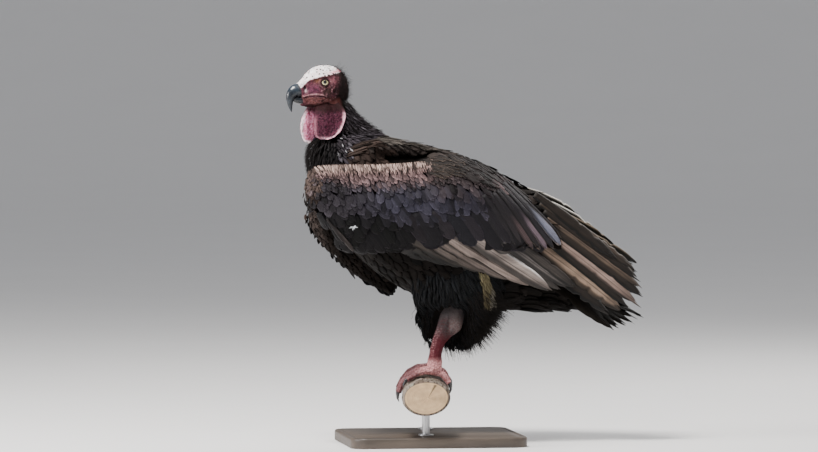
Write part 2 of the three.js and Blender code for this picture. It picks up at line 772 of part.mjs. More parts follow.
const bark = branch(),
  barkGrown = branch(GAP);
for (const [name, side] of [
  ["left", -1],
  ["right", 1],
]) {
  const leg = shank(side);
  piece(
    "thigh_" + name,
    biggest(cut(thigh(side), trunkGrown, shank(side, GAP), armsGrown[name], secsGrown[name])),
    BLACK,
    0.95,
  );
  const ankle = footAt(side).setZ(PERCH_TOP + 24);
  const below = halfSpace(ankle, V(0, 0, -1)),
    above = halfSpace(ankle.clone().setZ(ankle.z - GAP), V(0, 0, 1));
  piece("tarsus_" + name, biggest(cut(leg, below, trunkGrown)), 0xa86468, 0.6);
  const toes = TOES.map((t) => toe(side, t));
  piece("foot_" + name, biggest(cut(join([leg.subtract(above), ...toes]), barkGrown)), ROSE, 0.6);
  for (const t of TOES) {
    const others = TOES.map((o) => toe(side, o, GAP));
    piece("claw_" + name + "_" + t[0], biggest(cut(claw(side, t), ...others, barkGrown)), HORN, 0.35);
  }
}

piece("perch_branch", bark, 0x6b5542, 0.9);

// ---------------------------------------------------------------- stand
const plate = new THREE.Shape();
{
  const hx = BASE.x / 2,
    hy = BASE.y / 2,
    c = BASE.corner;
  plate.moveTo(-hx + c, -hy);
  plate.lineTo(hx - c, -hy);
  plate.absarc(hx - c, -hy + c, c, -Math.PI / 2, 0, false);
  plate.lineTo(hx, hy - c);
  plate.absarc(hx - c, hy - c, c, 0, Math.PI / 2, false);
  plate.lineTo(-hx + c, hy);
  plate.absarc(-hx + c, hy - c, c, Math.PI / 2, Math.PI, false);
  plate.lineTo(-hx, -hy + c);
  plate.absarc(-hx + c, -hy + c, c, Math.PI, 1.5 * Math.PI, false);
}
const slab = new THREE.ExtrudeGeometry(plate, { depth: BASE.z, bevelEnabled: false, curveSegments: 3 });
piece("stand_base", solid(slab), 0x3b3a39, 0.5);
for (const [name, s] of [
  ["stand_rod_left", -1],
  ["stand_rod_right", 1],
]) {
  const foot = perchMid.clone().addScaledVector(ALONG, s * ROD_AT);
  const top = PERCH_TOP - PERCH.high;
  const rod = new THREE.CylinderGeometry(ROD_R, ROD_R, top - BASE.z - GAP, 12);
  rod.rotateX(Math.PI / 2);
  rod.translate(foot.x, foot.y, (top + BASE.z + GAP) / 2);
  piece(name, biggest(cut(solid(rod), barkGrown)), 0x8d8f92, 0.35, 1);
}

root.userData.triangles = triangles;
export default root;
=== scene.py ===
"""Looks of the red-headed vulture on its perch and stand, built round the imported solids."""

import math

import bpy
import numpy as np
from mathutils import Matrix, Vector
from mathutils.bvhtree import BVHTree


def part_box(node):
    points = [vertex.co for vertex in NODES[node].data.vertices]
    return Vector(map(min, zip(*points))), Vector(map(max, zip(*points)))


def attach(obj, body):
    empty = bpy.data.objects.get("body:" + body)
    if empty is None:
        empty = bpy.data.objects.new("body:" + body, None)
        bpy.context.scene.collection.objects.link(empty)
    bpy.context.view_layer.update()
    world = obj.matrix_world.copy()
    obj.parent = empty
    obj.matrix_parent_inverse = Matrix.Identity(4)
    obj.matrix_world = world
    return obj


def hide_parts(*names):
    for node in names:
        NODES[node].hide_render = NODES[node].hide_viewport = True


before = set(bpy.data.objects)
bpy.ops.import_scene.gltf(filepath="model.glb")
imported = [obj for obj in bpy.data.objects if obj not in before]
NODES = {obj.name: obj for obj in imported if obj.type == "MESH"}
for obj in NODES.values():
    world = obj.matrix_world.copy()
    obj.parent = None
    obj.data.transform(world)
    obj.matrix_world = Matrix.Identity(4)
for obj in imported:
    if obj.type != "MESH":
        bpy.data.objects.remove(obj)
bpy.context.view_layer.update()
MM = 0.001
RNG = np.random.default_rng(20260)

# ------------------------------------------------------------------ the shared sheet of columns and rows (mm)
C8, S8 = math.cos(math.radians(8)), math.sin(math.radians(8))
C2, S2 = math.cos(math.radians(2)), math.sin(math.radians(2))


def at(col, row, y):
    col, row, y = np.broadcast_arrays(np.asarray(col, float), np.asarray(row, float), np.asarray(y, float))
    x = ((col - 430) * 1.7 + y * S8) / C8
    back = x * S8 + y * C8
    return np.stack([x, y, (116 + (375 - row) * 1.7 - back * S2) / C2], -1)


def sheet(p):
    """columns and rows of points, the inverse of at()"""
    x, y, z = p[..., 0], p[..., 1], p[..., 2]
    back = x * S8 + y * C8
    return (x * C8 - y * S8) / 1.7 + 430, 375 - (z * C2 + back * S2 - 116) / 1.7


HEAD_AT = at(318, 82.3, -4)
C20, S20 = math.cos(math.radians(20)), math.sin(math.radians(20))
HF, HL, HU = np.array([-C20, -S20, 0]), np.array([S20, -C20, 0]), np.array([0, 0, 1.0])


def head(f, l, z):
    f, l, z = np.broadcast_arrays(np.asarray(f, float), np.asarray(l, float), np.asarray(z, float))
    return HEAD_AT + f[..., None] * HF + l[..., None] * HL + z[..., None] * HU


def to_head(p):
    d = p - HEAD_AT
    return d @ HF, d @ HL, d @ HU


def unit(v):
    return v / np.maximum(np.linalg.norm(v, axis=-1, keepdims=True), 1e-9)


def smooth(a, b, x):
    t = np.clip((x - a) / (b - a), 0, 1)
    return t * t * (3 - 2 * t)


def bell(x, s):
    return np.exp(-((x / s) ** 2))


def look(table, s):
    """rows of a table at the values s of its first column, by a curve that doesn't overshoot"""
    T = np.asarray(table, float)
    if T[0, 0] > T[-1, 0]:
        T = T[::-1]
    x, Y = T[:, 0], T[:, 1:]
    d = np.diff(Y, axis=0) / np.diff(x)[:, None]
    m = np.zeros_like(Y)
    m[0], m[-1] = d[0], d[-1]
    ok = d[:-1] * d[1:] > 0
    m[1:-1] = np.where(ok, 2 * d[:-1] * d[1:] / np.where(ok, d[:-1] + d[1:], 1), 0)
    s = np.asarray(s, float)
    i = np.clip(np.searchsorted(x, s) - 1, 0, len(x) - 2)
    h = (x[i + 1] - x[i])[..., None]
    t = np.clip((s - x[i]) / (x[i + 1] - x[i]), 0, 1)[..., None]
    return (2 * t**3 - 3 * t**2 + 1) * Y[i] + (t**3 - 2 * t**2 + t) * h * m[i] + (3 * t**2 - 2 * t**3) * Y[i + 1] + (t**3 - t**2) * h * m[i + 1]


def spow(v, e):
    return np.sign(v) * np.abs(v) ** e


# ------------------------------------------------------------------ smooth noise
def _hash(ix, iy, iz, seed):
    n = (ix.astype(np.int64) * 374761393 + iy.astype(np.int64) * 668265263 + iz.astype(np.int64) * 2147483647 + seed * 144269504) & 0xFFFFFFFF
    n = ((n ^ (n >> 13)) * 1274126177) & 0xFFFFFFFF
    n = ((n ^ (n >> 16)) * 2246822519) & 0xFFFFFFFF
    return ((n ^ (n >> 15)) & 0xFFFFFF) / float(0xFFFFFF)


def noise(p, scale, seed=0):
    """value noise, -1 to 1, cells of 'scale' mm"""
    q = np.asarray(p, float) / scale
    i = np.floor(q)
    f = q - i
    f = f * f * (3 - 2 * f)
    i = i.astype(np.int64)
    out = 0
    for dx in (0, 1):
        for dy in (0, 1):
            for dz in (0, 1):
                w = (f[..., 0] if dx else 1 - f[..., 0]) * (f[..., 1] if dy else 1 - f[..., 1]) * (f[..., 2] if dz else 1 - f[..., 2])
                out = out + w * _hash(i[..., 0] + dx, i[..., 1] + dy, i[..., 2] + dz, seed)
    return out * 2 - 1


def fbm(p, scale, seed=0, octaves=3):
    return sum(noise(p, scale / 2**k, seed + 7 * k) * 0.5**k for k in range(octaves)) / 1.5


def cells(p, scale, seed=0):
    """distance to the nearest and second nearest of scattered points, in cells"""
    q = np.asarray(p, float) / scale
    i = np.floor(q).astype(np.int64)
    best = np.full(q.shape[:-1], 9.0)
    second = best.copy()
    for dx in (-1, 0, 1):
        for dy in (-1, 0, 1):
            for dz in (-1, 0, 1):
                j = i + np.array([dx, dy, dz])
                o = np.stack([_hash(j[..., 0], j[..., 1], j[..., 2], seed + k) for k in (1, 2, 3)], -1)
                d = np.linalg.norm(j + o - q, axis=-1)
                second = np.where(d < best, best, np.minimum(second, d))
                best = np.minimum(best, d)
    return best, second


# ------------------------------------------------------------------ meshes
def make(name, V, Q, attrs=None, colors=None, uv=None, mats=(), replaces=(), shade=True):
    """a mesh of vertices (mm) and quads or triangles, riding on the body"""
    me = bpy.data.meshes.new(name)
    V = np.asarray(V, np.float32) * MM
    Q = np.asarray(Q, np.int32)
    me.vertices.add(len(V))
    me.vertices.foreach_set("co", V.ravel())
    k = Q.shape[1]
    me.loops.add(Q.size)
    me.loops.foreach_set("vertex_index", Q.ravel())
    me.polygons.add(len(Q))
    me.polygons.foreach_set("loop_start", np.arange(0, Q.size, k, dtype=np.int32))
    me.update(calc_edges=True)
    me.validate()
    dress(me, attrs, colors, uv, Q, shade)
    ob = bpy.data.objects.new(name, me)
    bpy.context.scene.collection.objects.link(ob)
    for m in mats:
        me.materials.append(m)
    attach(ob, "root")
    if replaces:
        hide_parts(*replaces)
    return ob


def dress(me, attrs, colors, uv, Q, shade):
    me.polygons.foreach_set("use_smooth", np.full(len(me.polygons), shade))
    for k, a in (attrs or {}).items():
        x = me.attributes.new(k, "FLOAT_VECTOR", "POINT")
        x.data.foreach_set("vector", np.asarray(a, np.float32).ravel())
    for k, a in (colors or {}).items():
        x = me.color_attributes.new(k, "FLOAT_COLOR", "POINT")
        a = np.asarray(a, np.float32)
        x.data.foreach_set("color", np.concatenate([a, np.ones((len(a), 1), np.float32)], 1).ravel())
    if uv is not None:
        lay = me.uv_layers.new(name="OFBake")
        lay.data.foreach_set("uv", np.asarray(uv, np.float32)[Q.ravel()].ravel())


def grid_quads(n, m, wrap=True, off=0):
    """quads of n rings of m points"""
    i = np.arange(n - 1)[:, None]
    j = np.arange(m if wrap else m - 1)[None, :]
    k = (j + 1) % m
    return (off + np.stack([i * m + j, i * m + k, (i + 1) * m + k, (i + 1) * m + j], -1)).reshape(-1, 4)


def loft(rings, flip=False):
    """closed body of rings (n, m, 3): returns vertices and quads, the ends closed by strips; m even"""
    n, m, _ = rings.shape
    q = [grid_quads(n, m)]
    a = np.arange(m // 2 - 1)
    for base, turn in ((0, True), ((n - 1) * m, False)):
        cap = base + np.stack([a, a + 1, m - 2 - a, m - 1 - a], -1)
        q.append(cap[:, ::-1] if turn else cap)
    q = np.concatenate(q)
    v = rings.reshape(-1, 3)
    if volume(v, q) < 0:
        q = q[:, ::-1]
    return v, q


def volume(v, q):
    a, b, c, d = (v[q[:, k]] for k in range(4)) if q.shape[1] == 4 else (*(v[q[:, k]] for k in range(3)), None)
    s = np.einsum("ij,ij->i", a, np.cross(b, c)).sum()
    if d is not None:
        s += np.einsum("ij,ij->i", a, np.cross(c, d)).sum()
    return s / 6


def stack(parts):
    V, Q, o = [], [], 0
    for v, q in parts:
        V.append(v)
        Q.append(q + o)
        o += len(v)
    return np.concatenate(V), np.concatenate(Q)


def mesh_arrays(me):
    v = np.zeros(len(me.vertices) * 3, np.float32)
    me.vertices.foreach_get("co", v)
    me.calc_loop_triangles()
    t = np.zeros(len(me.loop_triangles) * 3, np.int32)
    me.loop_triangles.foreach_get("vertices", t)
    return v.reshape(-1, 3).astype(float) / MM, t.reshape(-1, 3)


def remesh(v, f, size, relax=3):
    """one closed skin round closed bodies, in cells of 'size' mm; returns vertices and quads"""
    me = bpy.data.meshes.new("tmp")
    me.from_pydata((v * MM).tolist(), [], f.tolist())
    ob = bpy.data.objects.new("tmp", me)
    bpy.context.scene.collection.objects.link(ob)
    mod = ob.modifiers.new("r", "REMESH")
    mod.mode = "VOXEL"
    mod.voxel_size = size * MM
    bpy.context.view_layer.update()
    out = bpy.data.meshes.new_from_object(ob.evaluated_get(bpy.context.evaluated_depsgraph_get()))
    bpy.data.objects.remove(ob)
    n = len(out.vertices)
    V = np.zeros(n * 3, np.float32)
    out.vertices.foreach_get("co", V)
    V = V.reshape(-1, 3).astype(float) / MM
    Q = np.zeros(len(out.loops), np.int32)
    out.loops.foreach_get("vertex_index", Q)
    Q = Q.reshape(-1, 4)
    bpy.data.meshes.remove(out)
    return relaxed(V, Q, relax), Q


def relaxed(V, Q, times, back=0.0):
    """smooths by neighbours' mean; 'back' undoes the shrink"""
    e = np.concatenate([Q[:, [k, (k + 1) % 4]] for k in range(4)])
    n = len(V)
    deg = np.bincount(e[:, 0], minlength=n) + np.bincount(e[:, 1], minlength=n)
    for _ in range(times):
        for w in (0.6, -0.62) if back else (0.5,):
            s = np.zeros_like(V)
            for k in range(3):
                s[:, k] = np.bincount(e[:, 0], V[e[:, 1], k], n) + np.bincount(e[:, 1], V[e[:, 0], k], n)
            V = V + w * (s / np.maximum(deg, 1)[:, None] - V)
    return V


def normals(V, Q):
    n = np.cross(V[Q[:, 2]] - V[Q[:, 0]], V[Q[:, -1]] - V[Q[:, 1]])
    out = np.zeros_like(V)
    for k in range(Q.shape[1]):
        for a in range(3):
            out[:, a] += np.bincount(Q[:, k], n[:, a], len(V))
    return unit(out)


def tree(V, Q):
    return BVHTree.FromPolygons(V.tolist(), Q.tolist())


def node_arrays(*names):
    return stack([mesh_arrays(NODES[n].data) for n in names])


# ------------------------------------------------------------------ materials
def new_mat(name):
    m = bpy.data.materials.new(name)
    m.use_nodes = True
    nt = m.node_tree
    b = nt.nodes["Principled BSDF"]
    return m, nt, b


class G:
    """small helper for node graphs"""

    def __init__(self, nt):
        self.nt = nt

    def node(self, kind, **kw):
        n = self.nt.nodes.new(kind)
        for k, v in kw.items():
            setattr(n, k, v)
        return n

    def put(self, sock, v):
        if hasattr(v, "links"):
            self.nt.links.new(v, sock)
        else:
            sock.default_value = v

    def math(self, op, a, b=0.0, c=None, clamp=False):
        n = self.node("ShaderNodeMath", operation=op, use_clamp=clamp)
        self.put(n.inputs[0], a)
        self.put(n.inputs[1], b)
        if c is not None:
            self.put(n.inputs[2], c)
        return n.outputs[0]

    def mix(self, fac, a, b, blend="MIX"):
        n = self.node("ShaderNodeMix", data_type="RGBA", blend_type=blend)
        self.put(n.inputs[0], fac)
        self.put(n.inputs[6], a if hasattr(a, "links") else (*a, 1))
        self.put(n.inputs[7], b if hasattr(b, "links") else (*b, 1))
        return n.outputs[2]

    def attr(self, name):
        return self.node("ShaderNodeAttribute", attribute_name=name)

    def xyz(self, v):
        n = self.node("ShaderNodeSeparateXYZ")
        self.put(n.inputs[0], v)
        return n.outputs

    def join(self, x, y, z):
        n = self.node("ShaderNodeCombineXYZ")
        for s, v in zip(n.inputs, (x, y, z)):
            self.put(s, v)
        return n.outputs[0]

    def coord(self):
        return self.node("ShaderNodeTexCoord").outputs["Object"]

    def noise(self, vec, scale, detail=3.0, rough=0.55):
        n = self.node("ShaderNodeTexNoise")
        self.put(n.inputs["Vector"], vec)
        n.inputs["Scale"].default_value = scale
        n.inputs["Detail"].default_value = detail
        n.inputs["Roughness"].default_value = rough
        return n.outputs["Fac"]

    def voronoi(self, vec, scale, feature="F1", out="Distance"):
        n = self.node("ShaderNodeTexVoronoi", feature=feature)
        self.put(n.inputs["Vector"], vec)
        n.inputs["Scale"].default_value = scale
        return n.outputs[out]

    def ramp(self, v, lo, hi, a=0.0, b=1.0):
        n = self.node("ShaderNodeMapRange")
        n.interpolation_type = "SMOOTHSTEP"
        self.put(n.inputs[0], v)
        for k, x in zip((1, 2, 3, 4), (lo, hi, a, b)):
            n.inputs[k].default_value = x
        return n.outputs[0]

    def bump(self, height, strength, dist, after=None):
        n = self.node("ShaderNodeBump")
        n.inputs["Strength"].default_value = strength
        n.inputs["Distance"].default_value = dist
        self.put(n.inputs["Height"], height)
        if after is not None:
            self.put(n.inputs["Normal"], after)
        return n.outputs[0]


def feather_mat(name, edge=(0.01, 0.008, 0.007), gain=1.0, edge_mm=0.8, edge_amt=0.5, rough=0.55, barb=1.1, spec=0.25, sheen=0.05, tint=(0.6, 0.6, 0.75), rachis=0.3, streak=0.45):
    """vane with barbs, rachis and worn edge, from the feather's own coordinates in mm"""
    m, nt, b = new_mat(name)
    g = G(nt)
    tone = g.attr("tone").outputs["Color"]
    fm = g.xyz(g.attr("fm").outputs["Vector"])
    fu = g.xyz(g.attr("fu").outputs["Vector"])
    x, y, rnd = fm
    ax = g.math("ABSOLUTE", x)
    line = g.math("SUBTRACT", y, g.math("MULTIPLY", ax, 1.25))
    st = g.noise(g.join(g.math("MULTIPLY", line, 0.55), g.math("MULTIPLY", ax, 0.05), g.math("MULTIPLY", rnd, 57.0)), 1.0, 4.0, 0.65)
    big = g.noise(g.coord(), 26.0, 3.0)
    v = g.math("ADD", g.math("MULTIPLY", g.math("SUBTRACT", st, 0.5), streak * 2.0), g.math("MULTIPLY", g.math("SUBTRACT", big, 0.5), 0.5))
    level = g.math("ADD", v, 1.0)
    hsv = g.node("ShaderNodeHueSaturation")
    g.put(hsv.inputs["Color"], tone)
    g.put(hsv.inputs["Value"], level)
    col = hsv.outputs[0]
    up = g.node("ShaderNodeVectorMath", operation="SCALE")
    g.put(up.inputs[0], col)
    up.inputs["Scale"].default_value = gain
    add = g.node("ShaderNodeVectorMath", operation="ADD")
    g.put(add.inputs[0], up.outputs[0])
    add.inputs[1].default_value = edge
    en = g.noise(g.join(line, rnd, ax), 0.9, 2.0)
    ew = g.math("MULTIPLY", g.ramp(g.math("SUBTRACT", fu[2], g.math("MULTIPLY", g.math("SUBTRACT", en, 0.5), edge_mm * 1.6)), 0.1, edge_mm, 1.0, 0.0), edge_amt)
    ew = g.math("MULTIPLY", ew, g.ramp(fu[1], 0.25, 0.7))
    col = g.mix(ew, col, add.outputs[0])
    rw = g.ramp(ax, 0.25, 0.75, 1.0, 0.0)
    col = g.mix(g.math("MULTIPLY", rw, rachis), col, (0.012, 0.009, 0.008))
    g.put(b.inputs["Base Color"], col)
    b.inputs["Roughness"].default_value = rough
    b.inputs["Specular IOR Level"].default_value = spec
    b.inputs["Sheen Weight"].default_value = sheen
    b.inputs["Sheen Roughness"].default_value = 0.4
    b.inputs["Sheen Tint"].default_value = (*tint, 1)
    wave = g.math("SINE", g.math("MULTIPLY", line, 6.2832 / barb))
    h = g.math("ADD", g.math("MULTIPLY", wave, 0.35), g.math("ADD", g.math("MULTIPLY", st, 1.4), g.math("MULTIPLY", rw, 1.2)))
    g.put(b.inputs["Normal"], g.bump(h, 0.45, 0.0004))
    return m


def skin_mat(name, rough=0.5, grain=900.0, sub=0.12, bump=0.35, speck=0.0, fine=0.25):
    """bare skin: painted regions, veins and fine grain"""
    m, nt, b = new_mat(name)
    g = G(nt)
    tone = g.attr("tone").outputs["Color"]
    co = g.coord()
    n1 = g.noise(co, 240.0, 4.0, 0.6)
    v1 = g.voronoi(co, grain)
    hsv = g.node("ShaderNodeHueSaturation")
    g.put(hsv.inputs["Color"], tone)
    g.put(hsv.inputs["Value"], g.math("ADD", 1.0, g.math("ADD", g.math("MULTIPLY", g.math("SUBTRACT", n1, 0.5), 0.8), g.math("MULTIPLY", g.math("SUBTRACT", 0.35, v1), fine))))
    g.put(hsv.inputs["Saturation"], g.math("ADD", 1.0, g.math("MULTIPLY", g.math("SUBTRACT", n1, 0.5), -0.5)))
    g.put(b.inputs["Base Color"], hsv.outputs[0])
    g.put(b.inputs["Roughness"], g.ramp(n1, 0.3, 0.7, rough - 0.02, rough + 0.18))
    b.inputs["Subsurface Weight"].default_value = sub
    b.inputs["Subsurface Radius"].default_value = (0.004, 0.0015, 0.001)
    b.inputs["Subsurface Scale"].default_value = 0.5
    b.inputs["Specular IOR Level"].default_value = 0.07
    g.put(b.inputs["Normal"], g.bump(g.math("ADD", g.math("MULTIPLY", v1, -1.0), g.math("MULTIPLY", n1, 1.2)), bump, 0.0005))
    return m


def horn_mat(name, dark, light, rough=0.26, coat=0.25):
    m, nt, b = new_mat(name)
    g = G(nt)
    co = g.coord()
    n1 = g.noise(co, 70.0, 4.0, 0.6)
    n2 = g.noise(co, 900.0, 2.0)
    tone = g.attr("tone").outputs["Color"]
    col = g.mix(g.ramp(n1, 0.35, 0.75), tone, light, "MIX")
    col = g.mix(0.55, tone, col)
    g.put(b.inputs["Base Color"], g.mix(g.ramp(n2, 0.55, 0.8, 0.0, 0.25), col, dark))
    g.put(b.inputs["Roughness"], g.ramp(n1, 0.3, 0.8, rough - 0.05, rough + 0.16))
    b.inputs["Coat Weight"].default_value = coat
    b.inputs["Coat Roughness"].default_value = 0.2
    g.put(b.inputs["Normal"], g.bump(g.math("ADD", n1, g.math("MULTIPLY", n2, 0.3)), 0.15, 0.0008))
    return m


def bark_mat(name):
    m, nt, b = new_mat(name)
    g = G(nt)
    co = g.coord()
    tone = g.attr("tone").outputs["Color"]
    n1 = g.noise(co, 90.0, 5.0, 0.65)
    n2 = g.noise(co, 600.0, 3.0, 0.6)
    hsv = g.node("ShaderNodeHueSaturation")
    g.put(hsv.inputs["Color"], tone)
    g.put(hsv.inputs["Value"], g.math("ADD", 0.55, g.math("ADD", g.math("MULTIPLY", n1, 0.6), g.math("MULTIPLY", n2, 0.3))))
    g.put(b.inputs["Base Color"], hsv.outputs[0])
    b.inputs["Roughness"].default_value = 0.85
    b.inputs["Specular IOR Level"].default_value = 0.25
    g.put(b.inputs["Normal"], g.bump(g.math("ADD", n1, g.math("MULTIPLY", n2, 0.5)), 0.5, 0.0012))
    return m


def board_mat(name):
    m, nt, b = new_mat(name)
    g = G(nt)
    co = g.xyz(g.coord())
    v = g.join(g.math("MULTIPLY", co[0], 6.0), g.math("MULTIPLY", co[1], 90.0), g.math("MULTIPLY", co[2], 40.0))
    n1 = g.noise(v, 1.0, 5.0, 0.6)
    n2 = g.noise(g.coord(), 350.0, 2.0)
    col = g.mix(g.ramp(n1, 0.3, 0.72), (0.052, 0.040, 0.032), (0.105, 0.080, 0.062))
    g.put(b.inputs["Base Color"], col)
    g.put(b.inputs["Roughness"], g.ramp(n1, 0.2, 0.8, 0.42, 0.58))
    g.put(b.inputs["Normal"], g.bump(g.math("ADD", n1, g.math("MULTIPLY", n2, 0.2)), 0.12, 0.0006))
    return m


def steel_mat(name):
    m, nt, b = new_mat(name)
    g = G(nt)
    co = g.xyz(g.coord())
    v = g.join(g.math("MULTIPLY", co[0], 260.0), g.math("MULTIPLY", co[1], 260.0), g.math("MULTIPLY", co[2], 5200.0))
    n1 = g.noise(v, 1.0, 3.0, 0.6)
    g.put(b.inputs["Base Color"], g.mix(n1, (0.42, 0.42, 0.43), (0.60, 0.60, 0.61)))
    b.inputs["Metallic"].default_value = 1.0
    g.put(b.inputs["Roughness"], g.ramp(n1, 0.2, 0.8, 0.25, 0.42))
    g.put(b.inputs["Normal"], g.bump(n1, 0.1, 0.0002))
    return m


M_COVERT = feather_mat("covert", edge=(0.0045, 0.0035, 0.0040), gain=2.3, edge_mm=2.6, edge_amt=0.8, rough=0.55, sheen=0.008, spec=0.11, tint=(0.6, 0.55, 0.8), streak=0.85)
M_SCAP = feather_mat("scapular", edge=(0.16, 0.12, 0.095), gain=1.5, edge_mm=0.6, edge_amt=0.9, rough=0.55, sheen=0.01, spec=0.18, streak=0.7)
M_BODY = feather_mat("body_plumage", edge=(0.002, 0.0015, 0.0015), gain=1.7, edge_mm=1.6, edge_amt=0.5, rough=0.7, sheen=0.004, spec=0.06, streak=0.6)
M_DOWN = feather_mat("down", edge=(0.004, 0.004, 0.004), gain=1.5, edge_mm=0.8, edge_amt=0.4, rough=0.8, sheen=0.012, spec=0.07, streak=0.6)
M_FLIGHT = feather_mat("flight", edge=(0.02, 0.015, 0.012), gain=1.6, edge_mm=1.2, edge_amt=0.6, rough=0.5, barb=1.5, sheen=0.03, spec=0.28, tint=(0.7, 0.66, 0.7), rachis=0.8, streak=0.5)
M_TAIL = feather_mat("tail_feather", edge=(0.004, 0.003, 0.002), gain=1.6, edge_mm=1.2, edge_amt=0.5, rough=0.6, barb=1.5, sheen=0.006, spec=0.07, rachis=0.5)
M_SKIN = skin_mat("bare_skin", rough=0.62, grain=850.0, fine=0.45)
M_EYE = None
M_HORN = horn_mat("horn", (0.006, 0.006, 0.008), (0.020, 0.034, 0.051), rough=0.28, coat=0.12)
M_CLAW = horn_mat("claw", (0.012, 0.011, 0.012), (0.07, 0.065, 0.07), rough=0.32)
M_BARK = bark_mat("bark")
M_BOARD = board_mat("board")
M_STEEL = steel_mat("steel")


# ------------------------------------------------------------------ form under the coat
FLESH = ["neck", "trunk", "thigh_left", "thigh_right", "wing_left_arm", "wing_right_arm"]
fv, ff = node_arrays(*FLESH, "head")
FORM_V, FORM_Q = remesh(fv, ff, 4.0, 4)
_c, _r = sheet(FORM_V)
# the hock stands clear of the thigh's outer side
m = smooth(300, 315, _r) * smooth(478, 463, _c) * (np.abs(FORM_V[:, 1]) > 44) * (_r < 352) * smooth(120, 100, np.abs(FORM_V[:, 1]))
_y = np.abs(FORM_V[:, 1])
FORM_V[:, 1] = np.sign(FORM_V[:, 1]) * np.where(_y > 44, 44 + (_y - 44) * (1 - 0.86 * m), _y)
# the hollow between back and folded wing
FORM_N = normals(FORM_V, FORM_Q)
m = smooth(368, 384, _c) * smooth(436, 420, _c) * smooth(146.5, 151, _r) * smooth(178, 164, _r) * (np.abs(FORM_V[:, 1]) < 92)
FORM_V = FORM_V - FORM_N * (15 * m)[:, None]
FORM_V = relaxed(FORM_V, FORM_Q, 1)
FORM_N = normals(FORM_V, FORM_Q)
_t = tree(FORM_V, FORM_Q)
thick = np.full(len(FORM_V), 60.0)
for i, (p, n) in enumerate(zip(FORM_V, FORM_N)):
    hit = _t.ray_cast(Vector(p - n * 0.8), Vector(-n), 60)
    if hit[0] is not None:
        thick[i] = hit[3]
thick = np.minimum(thick, 60)
CORE_V = FORM_V - FORM_N * np.minimum(2.6, thick * 0.25)[:, None]
SKIN_V = relaxed(FORM_V - FORM_N * np.minimum(6.5, thick * 0.38)[:, None], FORM_Q, 2)
CORE = tree(CORE_V, FORM_Q)
NODE_TREES = {n: tree(*mesh_arrays(NODES[n].data)) for n in FLESH + ["head"]}


def region_of(P):
    names = list(NODE_TREES)
    d = np.array([[NODE_TREES[n].find_nearest(Vector(p))[3] for n in names] for p in P])
    return np.array(names)[d.argmin(1)]


# ------------------------------------------------------------------ bare head
SKULL = [(40, -4, -36, 9.5), (35, -1.5, -38, 10.8), (28, 5.5, -41, 12.8), (20, 15.5, -43, 16.5), (11, 21.5, -44, 21.5), (1, 25.5, -44, 26), (-11, 27.6, -43, 29.5), (-23, 26.6, -41.5, 30.3), (-34, 22.5, -40, 28), (-43, 15, -38, 23), (-49.5, 5, -34, 16), (-53, -6, -26, 8)]
EYE_C = np.array([-5.0, 17.8, -2.0])
EYE_D = unit(np.array([0.44, 0.87, 0.12]))
EYE_R = 10.3


def polyline(f, z, pts):
    """distance from (f, z) to a line of points, and how far along it"""
    best = np.full(f.shape, 1e9)
    where = np.zeros(f.shape)
    n = len(pts) - 1
    for i in range(n):
        a, b = np.array(pts[i]), np.array(pts[i + 1])
        d = b - a
        t = np.clip(((f - a[0]) * d[0] + (z - a[1]) * d[1]) / (d @ d), 0, 1)
        r = np.hypot(f - a[0] - t * d[0], z - a[1] - t * d[1])
        where = np.where(r < best, (i + t) / n, where)
        best = np.minimum(best, r)
    return best, where


MOUTH = [(37, -27.5), (31.7, -26.9), (22, -24.6), (14.5, -23.8), (5, -24.2), (-2, -25.4), (-6, -28)]
BROW = [(31, -5), (22.4, 2.4), (8, 7.4), (-6, 9.6), (-19, 13.0), (-28, 14)]


